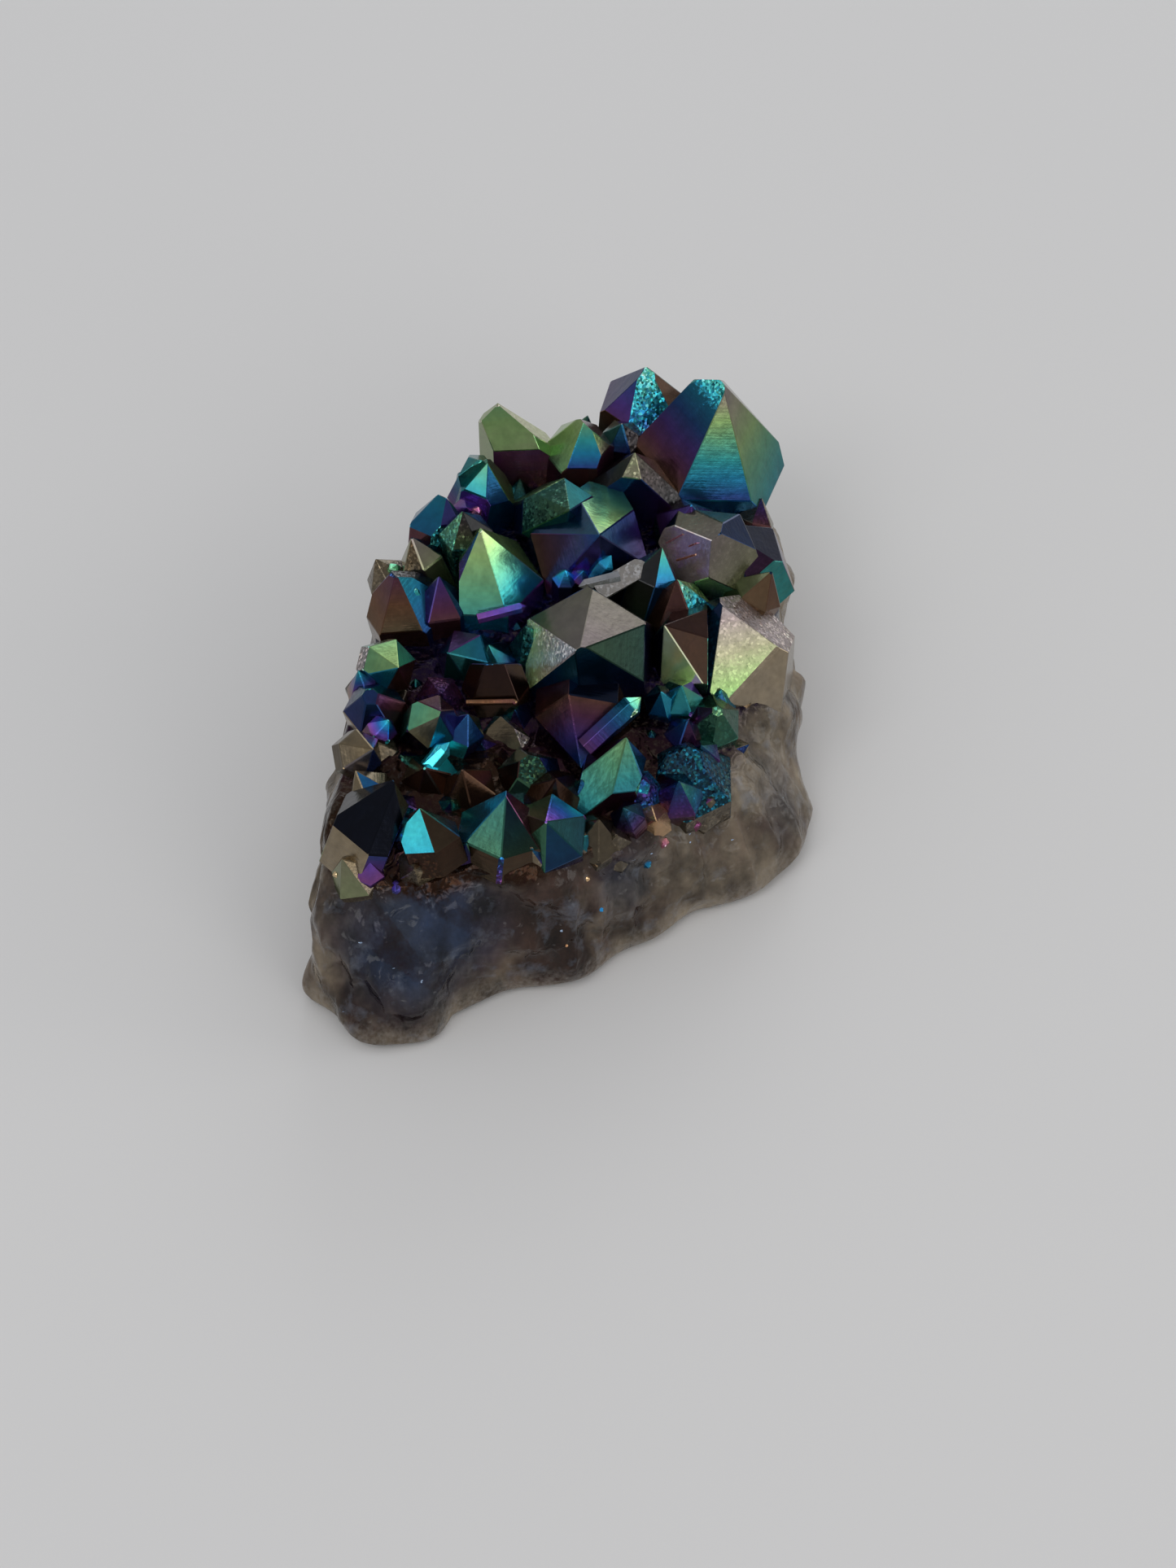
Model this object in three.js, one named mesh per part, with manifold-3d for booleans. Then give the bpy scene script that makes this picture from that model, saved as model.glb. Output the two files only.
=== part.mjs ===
// An aura amethyst cluster: quartz points crowded on a broken slab of milky quartz, coated with a metal film.
//
// The whole specimen grew as one piece, so it is one closed mesh. Millimetres, +Z up. The slab lies on its
// broken underside, +X is the specimen's right and -Y is its front, where the slab reaches furthest forward.

import * as THREE from 'three';
import { mergeVertices } from 'three/addons/utils/BufferGeometryUtils.js';
import Module from 'manifold-3d';

const wasm = await Module();
wasm.setup();

// Driving dimensions

const TIP_FACE_TILT = THREE.MathUtils.degToRad(51.8); // how far a tip face's normal leans from the axis
const CRYSTAL_DEPTH = 21; // length of a crystal from its tip to its buried end, mm
const WALL_SAMPLES = 44; // points around the slab's outline
const WALL_STEPS = 6; // rows of points from the slab's foot to its rim
const LUMP = 1.3; // how far the broken walls wander in and out, mm
const BULGE = 1.1; // how far the walls swell at mid height, mm
const WALL_DRAFT = 0.9; // below 1, the walls reach outward sooner than they fall
const BASE_SHARE = 0.94; // the flat rest face reaches this share of the way to the foot's outline
const FOOT_LIFT = 1.4; // height of the rounded edge around the rest face, mm
const SLAB_CENTRE = new THREE.Vector2(1, -12); // middle of the slab, mm
const CROWN = 20.5; // height of the crust between the points at the slab's middle, mm
const CRUST_ROUGHNESS = 0.7; // how far the crust rises and falls, mm
const CRUST_BLEND = 3; // the power by which the crust's own height gives way to the rim's
const RIGHT_FALL = { start: 4, slope: 0.1 }; // the crust falls to the right from here, mm and mm per mm
const FRONT_RIGHT_FALL = { start: 12, slope: 0.08, aslant: 0.2 }; // and more steeply to the front right
const HOLLOW_CENTRE = new THREE.Vector2(3, -29); // middle of the hollow in front of the great mauve point
const HOLLOW_RADIUS = 7; // mm
const HOLLOW_DEPTH = 2.5; // mm

// The slab's outline, counterclockwise from its left side: the foot on the table, and the rim where the
// points begin

const OUTLINE = [
  { foot: [-24.6, -30], rim: [-22.8, -27, 20] },
  { foot: [-26, -40], rim: [-24.2, -34, 20.5] },
  { foot: [-27.3, -45.6], rim: [-24.2, -40, 18.5] },
  { foot: [-23.4, -49], rim: [-21.2, -42.6, 18.5] },
  { foot: [-17.6, -52.6], rim: [-17.6, -43.6, 18.5] },
  { foot: [-13, -52], rim: [-12.2, -43, 19] },
  { foot: [-10, -47.4], rim: [-8, -42, 19.5] },
  { foot: [-2.5, -44.6], rim: [-2, -40.6, 19.5] },
  { foot: [3.5, -43.4], rim: [3.5, -38.8, 18] },
  { foot: [9.5, -38.6], rim: [9.5, -35.6, 16] },
  { foot: [17, -33.2], rim: [16, -30.6, 15] },
  { foot: [24.4, -29.8], rim: [20.6, -26, 14] },
  { foot: [30, -23.4], rim: [23.6, -19, 14.5] },
  { foot: [29.6, -12], rim: [25.4, -10, 16] },
  { foot: [28.8, 3], rim: [26.4, 3, 17] },
  { foot: [28.6, 14], rim: [26.4, 13, 18] },
  { foot: [25, 27], rim: [22, 23.6, 19] },
  { foot: [12.5, 31], rim: [11, 27, 20] },
  { foot: [0, 28], rim: [0, 24.6, 20] },
  { foot: [-9, 22], rim: [-7.6, 19.2, 20] },
  { foot: [-16, 13], rim: [-13.6, 11.2, 20] },
  { foot: [-20.4, 2], rim: [-17.8, 1.2, 20] },
  { foot: [-22.8, -13], rim: [-20.2, -13, 20] },
];

// The points that give the cluster its look, from the back row to the front. Sizes in mm, angles in degrees:
//   tip     where the axis ends, measured from the slab's frame, +Z up
//   lean    how far the axis leans from upright, and toward which way it leans (0 is +X, 90 is +Y)
//   turn    the way that tip face 0 looks; the other five follow every 60 degrees
//   width   across the flats
//   set     how far each tip face is set down (+) or up (-) the axis, so some faces grow and others shrink
//   sides   each prism wall's distance from the axis, as a share of half the width
//   chips   flat breaks: the way each looks (azimuth, elevation) and how far below the tip it cuts; a
//           break with a negative depth passes outside the tip and cuts only the shoulder beyond it
//   depth   length from the tip to the buried end

const BACK_POINTS = [
  { name: 'great point', tip: [20.7, 19, 36], lean: 15, toward: -27, turn: 40, width: 18, depth: 38,
    set: [0, -0.5, -1.5, 1, 0, 0], sides: [1, 1.05, 0.9, 0.87, 1, 1.2],
    chips: [[-115, 62, 0.6], [143, 27, -2.8]] },
  { name: 'blue point behind', tip: [11.9, 24.8, 33], lean: 4, toward: 28, turn: 47, width: 9.7, depth: 34,
    set: [0, -0.2, 0, -0.8, 0.2, 0], chips: [[-40, 60, 0.7]] },
  { name: 'striped green block', tip: [-6, 18.3, 33], lean: 8, toward: -90, turn: 33, width: 8,
    set: [0, -3, 0, -3, 0, -3], sides: [1.3, 0.15, 0.45, 0.6, 0.88, 1.8] },
  { name: 'teal point beside the block', tip: [3.7, 17, 32], lean: 0, toward: 0, turn: 30, width: 7.4,
    set: [0, 0, 0, 0.8, 0, -1.2] },
  { name: 'stub between the tall ones', tip: [8.8, 18.2, 30], lean: 12, toward: -100, turn: 20, width: 4.6 },
  { name: 'grey point', tip: [10.3, 12.3, 31], lean: 0, toward: 0, turn: 20, width: 12,
    sides: [1, 1, 1, 0.76, 0.32, 0.97] },
  { name: 'small green point', tip: [-6.5, 12.7, 30], lean: 14, toward: 44, turn: 6, width: 7,
    set: [1.4, 0, 0, -0.4, -0.8, 0] },
  { name: 'green point beside it', tip: [-7.9, 11.9, 30], lean: 22, toward: -42, turn: 39, width: 5.3,
    depth: 9,
    set: [0, 0, 0, -1.5, 0.6, 0.3], sides: [1, 1, 0.6, 1, 1, 1] },
  { name: 'blue button', tip: [-12.7, 6.6, 30], lean: 23, toward: 76, turn: 50, width: 6,
    set: [0.3, 0, 0, 0.3, -0.9, -0.9] },
];

const MIDDLE_POINTS = [
  { name: 'etched point', tip: [2.6, 2.7, 31], lean: 43, toward: -75, turn: 2, width: 9.3,
    sides: [1, 0.75, 0.75, 1, 1, 1] },
  { name: 'bright kite', tip: [6.1, -2.2, 32], lean: 31, toward: -77, turn: 17, width: 13,
    sides: [0.95, 1.4, 1, 1, 1, 1] },
  { name: 'violet point under the great one', tip: [17, 6.6, 28], lean: 10, toward: -60, turn: 10, width: 7 },
  { name: 'mauve block', tip: [18.7, -0.5, 30], lean: 24, toward: -103, turn: 21, width: 10.1,
    set: [-1.1, -1.2, -2.2, 1, -2, 0], sides: [1, 1, 1.27, 1, 0.8, 1.39], chips: [[150, 68, 0.8]] },
  { name: 'navy shoulder', tip: [21.3, 3.5, 28], lean: 18, toward: 180, turn: 10, width: 8.7, depth: 12,
    set: [1, 0, 0, 0, -0.2, 0], sides: [1, 1.15, 1, 1, 1, 1] },
  { name: 'teal shoulder', tip: [26.4, -1.4, 25], lean: 30, toward: 20, turn: 15, width: 5.6 },
  { name: 'teal sliver', tip: [13.4, -1.3, 29], lean: 28, toward: 55, turn: 59, width: 5.9 },
  { name: 'brown wall', tip: [15.1, -5.5, 28], lean: 0, toward: 0, turn: 30, width: 8 },
  { name: 'green blade', tip: [13.5, -12.7, 28], lean: 33, toward: -151, turn: 14, width: 10.8,
    sides: [1, 1, 1, 0.9, 0.9, 1], chips: [[0, 0, -5.1]] },
  { name: 'pink point', tip: [21.5, -8.1, 28], lean: 0, toward: 0, turn: 48, width: 14, depth: 25,
    set: [-0.7, -0.4, -0.6, 0, 1.3, -2.6], chips: [[20, 48, 1.8], [-60, 21, -2.2]] },
  { name: 'tall green point', tip: [-7.8, -1, 32], lean: 2, toward: 88, turn: 26, width: 12.8,
    chips: [[165, 27, 0.1], [180, 0, -2.5]] },
  { name: 'etched neighbour', tip: [-9.9, 1.4, 32.2], lean: 6, toward: 170, turn: 30, width: 5.6 },
  { name: 'great mauve point', tip: [3.1, -19.4, 31], lean: 39, toward: -104, turn: 55, width: 14.1,
    set: [-1, 0, 0.4, 0.2, 0, -1.4], sides: [1, 1, 1, 1.14, 1, 1], chips: [[175, 25, -6.6]] },
  { name: 'grey sliver', tip: [-16, 1.3, 28], lean: 25, toward: 150, turn: 10, width: 5 },
  { name: 'brown point at the left', tip: [-17.5, -4.6, 29], lean: 10, toward: 167, turn: 26, width: 9.8,
    set: [0, 0.2, -0.2, -0.2, -0.5, 0], sides: [1, 1, 0.67, 1, 1, 1], chips: [[60, 60, 0.9]] },
  { name: 'khaki shoulder', tip: [-20.3, 0.6, 25], lean: 25, toward: 170, turn: 15, width: 5 },
  { name: 'cyan sliver', tip: [-15.2, -6, 27], lean: 12, toward: -30, turn: 5, width: 4.5 },
  { name: 'dark blue neighbour', tip: [-12.6, -5, 28], lean: 8, toward: 100, turn: 40, width: 6.5 },
  { name: 'magenta crevice point', tip: [-6.7, -13, 25], lean: 8, toward: -120, turn: 30, width: 7.5 },
  { name: 'teal point in the crevice', tip: [-2.5, -11.5, 26.5], lean: 20, toward: -160, turn: 20, width: 6 },
  { name: 'blue bead', tip: [2.1, -3.9, 27.9], lean: 10, toward: -90, turn: 30, width: 2.8 },
  { name: 'violet bead', tip: [4.2, -4, 27.8], lean: 20, toward: -80, turn: 0, width: 2.4 },
  { name: 'bare chipped ridge', tip: [11.9, -2.9, 28], lean: 76, toward: 30, turn: 30, width: 3.4,
    depth: 9, chips: [[-60, 60, 0.5]] },
  { name: 'thin blue blade', tip: [7.5, -2.8, 29.2], lean: 35, toward: 20, turn: 0, width: 2, depth: 4 },
];

const FRONT_POINTS = [
  { name: 'green step', tip: [-16.8, -19.3, 28], lean: 46, toward: -61, turn: 53, width: 5.9, depth: 6.5,
    sides: [1, 1, 1, 0.8, 1, 1] },
  { name: 'pale corner', tip: [-21.6, -17.4, 25.5], lean: 20, toward: 170, turn: 10, width: 5.2 },
  { name: 'navy point', tip: [-20.2, -21.8, 27], lean: 14, toward: -120, turn: 34, width: 6.4,
    chips: [[-90, 62, 1]] },
  { name: 'khaki corner', tip: [-20.8, -26.6, 24.5], lean: 20, toward: -150, turn: 20, width: 5.4 },
  { name: 'cyan flake', tip: [-17.8, -25, 25.5], lean: 25, toward: -20, turn: 25, width: 3.2, depth: 8 },
  { name: 'end-on point', tip: [-12.1, -26.5, 28], lean: 31, toward: -63, turn: 54, width: 5.4,
    set: [-0.8, -0.6, 0.2, 0.2, 0, -0.2] },
  { name: 'blue tablet', tip: [-8.8, -24.5, 26], lean: 15, toward: -20, turn: 15, width: 4.6 },
  { name: 'teal slope', tip: [-11.4, -15.2, 26], lean: 40, toward: -130, turn: 10, width: 6 },
  { name: 'purple lump', tip: [-12, -20.5, 25], lean: 30, toward: -80, turn: 30, width: 5 },
  { name: 'brown tent', tip: [-5.9, -17.9, 27], lean: 6, toward: -90, turn: 30, width: 6.8,
    set: [-2, 0, -2, 0, 1.6, 0] },
  { name: 'khaki ledge', tip: [-5.2, -21.9, 22.6], lean: 5, toward: -90, turn: 30, width: 7, depth: 9,
    set: [0, 0, 0, -1.2, 0, -1.2] },
  { name: 'bright flake', tip: [-10.9, -27.2, 24.3], lean: 60, toward: 42, turn: 0, width: 1.8, depth: 5 },
  { name: 'dark keel', tip: [4, -27.5, 20], lean: 92, toward: -92, turn: 75, width: 10, depth: 12 },
  { name: 'glassy stub', tip: [-1.6, -29.2, 24], lean: 8, toward: -60, turn: 15, width: 8.4,
    chips: [[-75, 58, 1.6]] },
  { name: 'slender blue prism', tip: [10.8, -22.2, 26.3], lean: 62, toward: 34, turn: 20, width: 2,
    depth: 11.5 },
  { name: 'teal kite', tip: [9.1, -27.1, 25], lean: 14, toward: 35, turn: -10, width: 7.7,
    sides: [0.75, 1, 1, 1, 1.9, 1] },
  { name: 'teal step under the blade', tip: [15.5, -18.4, 24], lean: 12, toward: -80, turn: 30, width: 4.6 },
  { name: 'blue step under the blade', tip: [13.1, -18.9, 23.5], lean: 15, toward: -110, turn: 15, width: 4 },
  { name: 'violet step', tip: [16.2, -21.5, 21.5], lean: 10, toward: -60, turn: 40, width: 4.4 },
  { name: 'khaki block', tip: [6, -36, 21.2], lean: 12, toward: -40, turn: 10, width: 6.4, depth: 9 },
  { name: 'violet wreck', tip: [10.8, -30.5, 21], lean: 20, toward: -80, turn: 40, width: 5,
    chips: [[-60, 55, 0.9]] },
  { name: 'dark green point', tip: [19.8, -20.6, 22.5], lean: 20, toward: -60, turn: 0, width: 6.2,
    chips: [[-80, 70, 0.7]] },
  { name: 'dark stub', tip: [16, -26.6, 22.4], lean: 8, toward: -90, turn: 0, width: 10.4,
    chips: [[-70, 66, 1.9], [-120, 50, 2.1]] },
  { name: 'mauve point in the front', tip: [-19.3, -30.2, 26.5], lean: 42, toward: -40, turn: 20, width: 5,
    depth: 5 },
  { name: 'khaki bead', tip: [-21.4, -31.6, 24.5], lean: 30, toward: 160, turn: 5, width: 4.6 },
  { name: 'black mirror', tip: [-17, -34.9, 27], lean: 25, toward: 38, turn: 47, width: 8.5, depth: 12,
    set: [0, 0, 0.5, 0.8, 0, 0], sides: [1, 1, 1, 1.1, 1.26, 0.66] },
  { name: 'cyan tent', tip: [-13.9, -38.3, 26], lean: 25, toward: 129, turn: 14, width: 6.4, depth: 8.5 },
  { name: 'brown films', tip: [-13.6, -30.8, 24], lean: 20, toward: -100, turn: 35, width: 6.5 },
  { name: 'orange films', tip: [-9.4, -31.4, 24.4], lean: 10, toward: -140, turn: 10, width: 6 },
  { name: 'teal point in the front', tip: [-4.3, -36.5, 27], lean: 12, toward: 63, turn: 59, width: 11.6,
    set: [0, 0, 0.5, 0, 0, 0.5], sides: [1, 1, 1, 0.78, 0.78, 1], depth: 9.5 },
  { name: 'green tent', tip: [0.1, -39.5, 25], lean: 25, toward: -96, turn: 54, width: 8, depth: 8 },
  { name: 'dark slope', tip: [1.2, -32, 23.5], lean: 15, toward: -60, turn: 20, width: 6.6 },
  { name: 'khaki roll', tip: [8, -36.6, 19], lean: 30, toward: -70, turn: 25, width: 6.4 },
  { name: 'amber point', tip: [12.5, -34, 18.4], lean: 40, toward: -75, turn: 10, width: 4.4 },
  { name: 'khaki roll at the right', tip: [19, -29.5, 17], lean: 35, toward: -55, turn: 15, width: 6 },
  { name: 'pale cut block', tip: [-22.6, -42, 21.5], lean: 25, toward: -150, turn: 25, width: 6 },
  { name: 'purple flake', tip: [-19.5, -42.3, 21.5], lean: 12, toward: -60, turn: 10, width: 3.4 },
];

// Small points: a ring of them leans outward over the rim, and a field of low ones fills the crust between

const RIM_POINTS = 34;
const RIM_SEED = 11;
const RIM_GAP = 0.6; // how far a rim point may slip along the rim, as a share of the spacing
const RIM_WIDTHS = [3.4, 6.2]; // narrowest and widest, mm
const RIM_LEANS = [28, 52]; // degrees
const RIM_RISE = 3.6; // how far a rim point's tip stands above the rim, mm
const RIM_REACH = [-1, 0.4]; // how far it stands past the rim, mm
const RIM_SPREAD = 20; // how far it turns from straight outward, degrees
const RIM_DEPTH = 11; // length from its tip to its buried end, mm
const FIELD_SEED = 29;
const FIELD_AREA = { left: -21, right: 24, front: -40, back: 24 }; // mm
const FIELD_STEP = 5.8; // spacing of the low points, mm
const FIELD_WIDTHS = [3.6, 6];
const FIELD_SLIP = 2; // how far each slips from its place on the grid, mm
const FIELD_RISE = [0.8, 2.8]; // how far their tips stand above the crust, mm
const FIELD_LEAN = 24; // greatest lean, degrees
const FIELD_SPREAD = 70; // how far they turn from straight outward, degrees
const FIELD_DEPTH = 9;

// A small repeatable random number source, so that every build gives the same stone

function randomSource(seed) {
  let state = seed;
  return (low, high) => {
    state = (state * 1664525 + 1013904223) % 4294967296;
    return low + ((high - low) * state) / 4294967296;
  };
}

// A smooth wander of a surface: a sum of three plane waves, between about -1 and 1

function wander(x, y, z) {
  const first = Math.sin(0.43 * x + 0.31 * y + 0.52 * z);
  const second = Math.sin(-0.27 * x + 0.61 * y - 0.38 * z + 1.7);
  const third = Math.sin(0.74 * x - 0.22 * y + 0.83 * z + 4.1);
  return (first + second + 0.7 * third) / 2.7;
}

// Height of the crust between the points, at (x, y): level at the left, then falling to the right and,
// more steeply, to the front right, with one hollow near the front

function crustHeight(x, y) {
  const fallToRight = RIGHT_FALL.slope * Math.max(0, x - RIGHT_FALL.start);
  const pastFrontRight = Math.max(0, x - FRONT_RIGHT_FALL.aslant * y - FRONT_RIGHT_FALL.start);
  const fallToFrontRight = FRONT_RIGHT_FALL.slope * pastFrontRight;
  const fromHollow = HOLLOW_CENTRE.distanceTo(new THREE.Vector2(x, y)) / HOLLOW_RADIUS;
  const hollow = HOLLOW_DEPTH * Math.exp(-(fromHollow ** 2));
  const rough = CRUST_ROUGHNESS * wander(1.6 * x, 1.6 * y, 3);
  return CROWN - fallToRight - fallToFrontRight - hollow + rough;
}

// three.js geometry to solid, and back

function solidFrom(geometry) {
  geometry.deleteAttribute('normal');
  geometry.deleteAttribute('uv');
  const welded = mergeVertices(geometry, 1e-4);
  return new wasm.Manifold(new wasm.Mesh({
    numProp: 3,
    vertProperties: new Float32Array(welded.attributes.position.array),
    triVerts: new Uint32Array(welded.index.array),
  }));
}

function geometryFrom(solid) {
  const mesh = solid.getMesh();
  const geometry = new THREE.BufferGeometry();
  geometry.setAttribute('position', new THREE.BufferAttribute(mesh.vertProperties, 3));
  geometry.setIndex(new THREE.BufferAttribute(mesh.triVerts, 1));
  return geometry;
}

// Cuts away what lies beyond a plane: the part on the side that the plane's normal points to

function cutBeyond(solid, normal, pointOnPlane) {
  const back = normal.clone().negate();
  return solid.trimByPlane(back.toArray(), back.dot(pointOnPlane));
}

// The way that an azimuth and an elevation look, both in degrees

function lookingTo(azimuth, elevation) {
  const around = THREE.MathUtils.degToRad(azimuth);
  const up = THREE.MathUtils.degToRad(elevation);
  return new THREE.Vector3(Math.cos(around) * Math.cos(up), Math.sin(around) * Math.cos(up), Math.sin(up));
}

// One quartz point: a six-sided prism, its walls and its six tip faces cut at their own distances

function quartzPoint(crystal) {
  const { tip, lean, toward, turn, width, set = [], sides = [], chips = [], depth = CRYSTAL_DEPTH } = crystal;
  const apex = new THREE.Vector3(...tip);
  const tilt = new THREE.Quaternion().setFromAxisAngle(
    lookingTo(toward + 90, 0), THREE.MathUtils.degToRad(lean));
  const axis = new THREE.Vector3(0, 0, 1).applyQuaternion(tilt);
  const widest = Math.max(1, ...sides) * width;
  const blank = new THREE.CylinderGeometry(widest, widest, depth, 6);
  blank.rotateX(Math.PI / 2);
  blank.translate(0, 0, -depth / 2 + Math.max(0, -Math.min(0, ...set)));
  blank.rotateZ(THREE.MathUtils.degToRad(turn));
  blank.applyQuaternion(tilt);
  blank.translate(...tip);
  let solid = solidFrom(blank);
  for (let face = 0; face < 6; face += 1) {
    const wallNormal = lookingTo(turn + 60 * face, 0).applyQuaternion(tilt);
    const wallPoint = apex.clone().addScaledVector(wallNormal, ((sides[face] ?? 1) * width) / 2);
    solid = cutBeyond(solid, wallNormal, wallPoint);
    const tipNormal = axis.clone().multiplyScalar(Math.cos(TIP_FACE_TILT));
    tipNormal.addScaledVector(wallNormal, Math.sin(TIP_FACE_TILT));
    const tipPoint = apex.clone().addScaledVector(axis, -(set[face] ?? 0));
    solid = cutBeyond(solid, tipNormal, tipPoint);
  }
  for (const [azimuth, elevation, below] of chips) {
    const breakNormal = lookingTo(azimuth, elevation);
    solid = cutBeyond(solid, breakNormal, apex.clone().addScaledVector(breakNormal, -below));
  }
  return solid;
}

// The level direction from the slab's middle out to a place, and its angle in degrees

function outwardFrom({ x, y }) {
  return new THREE.Vector3(x - SLAB_CENTRE.x, y - SLAB_CENTRE.y, 0).normalize();
}

function outwardAngle(x, y) {
  const outward = outwardFrom({ x, y });
  return THREE.MathUtils.radToDeg(Math.atan2(outward.y, outward.x));
}

// A closed smooth curve through places

function closedCurve(places) {
  return new THREE.CatmullRomCurve3(places.map((place) => new THREE.Vector3(...place)), true);
}

// The slab: a round body whose rows of points are moved onto the crust, the rim, the walls, the foot and
// the rest face

function slab() {
  const foot = closedCurve(OUTLINE.map(({ foot: [x, y] }) => [x, y, 0]));
  const rim = closedCurve(OUTLINE.map(({ rim: place }) => place));
  const crustShares = [0, 0.3, 0.6, 0.85]; // rows on the crust, as shares of the way out to the rim
  const baseShares = [BASE_SHARE, 0.5, 0]; // rows on the rest face
  const rows = crustShares.length + WALL_STEPS + 1 + baseShares.length;
  const body = new THREE.SphereGeometry(1, WALL_SAMPLES, rows - 1);
  const positions = body.attributes.position;
  for (let index = 0; index < positions.count; index += 1) {
    const row = Math.floor(index / (WALL_SAMPLES + 1));
    const along = (index % (WALL_SAMPLES + 1)) / WALL_SAMPLES;
    const point = slabPoint(row, along % 1, foot, rim, crustShares, baseShares);
    positions.setXYZ(index, point.x, point.y, point.z);
  }
  return solidFrom(body);
}

function slabPoint(row, along, foot, rim, crustShares, baseShares) {
  const onFoot = foot.getPoint(along);
  const onRim = rim.getPoint(along);
  const middle = new THREE.Vector3(SLAB_CENTRE.x, SLAB_CENTRE.y, 0);
  if (row < crustShares.length) {
    const point = middle.clone().lerp(onRim, crustShares[row]);
    const blend = crustShares[row] ** CRUST_BLEND;
    point.z = THREE.MathUtils.lerp(crustHeight(point.x, point.y), onRim.z, blend);
    return point;
  }
  const wallRow = row - crustShares.length;
  if (wallRow <= WALL_STEPS) {
    const down = wallRow / WALL_STEPS;
    const point = onRim.clone().lerp(onFoot, down ** WALL_DRAFT);
    point.z = THREE.MathUtils.lerp(onRim.z, FOOT_LIFT, down);
    const outward = outwardFrom(onFoot);
    const swell = BULGE * Math.sin(Math.PI * down) + LUMP * wander(point.x, point.y, point.z);
    return point.addScaledVector(outward, swell);
  }
  const share = baseShares[wallRow - WALL_STEPS - 1];
  return middle.clone().lerp(onFoot, share);
}

// Small points leaning out over the rim

function rimPoints() {
  const random = randomSource(RIM_SEED);
  const rim = closedCurve(OUTLINE.map(({ rim: place }) => place));
  const points = [];
  for (let number = 0; number < RIM_POINTS; number += 1) {
    const place = rim.getPointAt((number + random(0, RIM_GAP)) / RIM_POINTS);
    const outward = outwardFrom(place);
    const tip = place.clone().addScaledVector(outward, random(...RIM_REACH));
    tip.z += random(0, RIM_RISE);
    points.push({
      tip: tip.toArray(),
      lean: random(...RIM_LEANS),
      toward: outwardAngle(place.x, place.y) + random(-RIM_SPREAD, RIM_SPREAD),
      turn: random(0, 60),
      width: random(...RIM_WIDTHS),
      depth: RIM_DEPTH,
    });
  }
  return points;
}

// Low points between the others

function fieldPoints() {
  const random = randomSource(FIELD_SEED);
  const points = [];
  for (let x = FIELD_AREA.left; x <= FIELD_AREA.right; x += FIELD_STEP) {
    for (let y = FIELD_AREA.front; y <= FIELD_AREA.back; y += FIELD_STEP) {
      const placeX = x + random(-FIELD_SLIP, FIELD_SLIP);
      const placeY = y + random(-FIELD_SLIP, FIELD_SLIP);
      const rise = random(...FIELD_RISE);
      const point = {
        tip: [placeX, placeY, crustHeight(placeX, placeY) + rise],
        lean: random(0, FIELD_LEAN),
        toward: outwardAngle(placeX, placeY) + random(-FIELD_SPREAD, FIELD_SPREAD),
        turn: random(0, 60),
        width: random(...FIELD_WIDTHS),
        depth: FIELD_DEPTH,
      };
      if (insideRim(placeX, placeY)) {
        points.push(point);
      }
    }
  }
  return points;
}

function insideRim(x, y) {
  let inside = false;
  OUTLINE.forEach(({ rim: [x1, y1] }, index) => {
    const [x2, y2] = OUTLINE[(index + 1) % OUTLINE.length].rim;
    const crosses = y1 > y !== y2 > y && x < ((x2 - x1) * (y - y1)) / (y2 - y1) + x1;
    if (crosses) {
      inside = !inside;
    }
  });
  return inside;
}

// The outside surface alone: a pocket sealed in between crystals is filled

function outerSkin(solid) {
  const shells = solid.decompose();
  return shells.reduce((best, shell) => (shell.volume() > best.volume() ? shell : best));
}

// The whole specimen, with the middle of its box's underside at the origin

function cluster() {
  const points = [...BACK_POINTS, ...MIDDLE_POINTS, ...FRONT_POINTS, ...rimPoints(), ...fieldPoints()];
  const solids = [slab(), ...points.map(quartzPoint)];
  const joined = wasm.Manifold.union(solids).trimByPlane([0, 0, 1], 0);
  const geometry = geometryFrom(outerSkin(joined));
  geometry.computeBoundingBox();
  const middle = geometry.boundingBox.getCenter(new THREE.Vector3());
  geometry.translate(-middle.x, -middle.y, -geometry.boundingBox.min.z);
  return geometry;
}

const coatedQuartz = new THREE.MeshStandardMaterial({ color: 0x3c6f78, roughness: 0.25, metalness: 0.6 });
const specimen = new THREE.Mesh(cluster(), coatedQuartz);
specimen.name = 'amethyst_cluster';

const group = new THREE.Group();
group.add(specimen);

export default group;
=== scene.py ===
# %% [markdown]
# # An aura amethyst cluster
# A cluster like this is one piece of stone. Quartz points crowd on a broken slab of milky quartz. A maker
# then heats the stone in a vacuum with a little metal vapour, which settles on it as a film far thinner
# than a hair. The film shows a different colour for each thickness, as oil on water does.
#
# The stone could be sculpted by hand, but a crystal is simpler than that: each of its faces is a flat cut.
# So this lesson describes every point by a few measures, works out its faces with numpy, and then gives
# each face the thickness of its film. Lengths are in millimetres until a mesh is made.

import itertools

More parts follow.
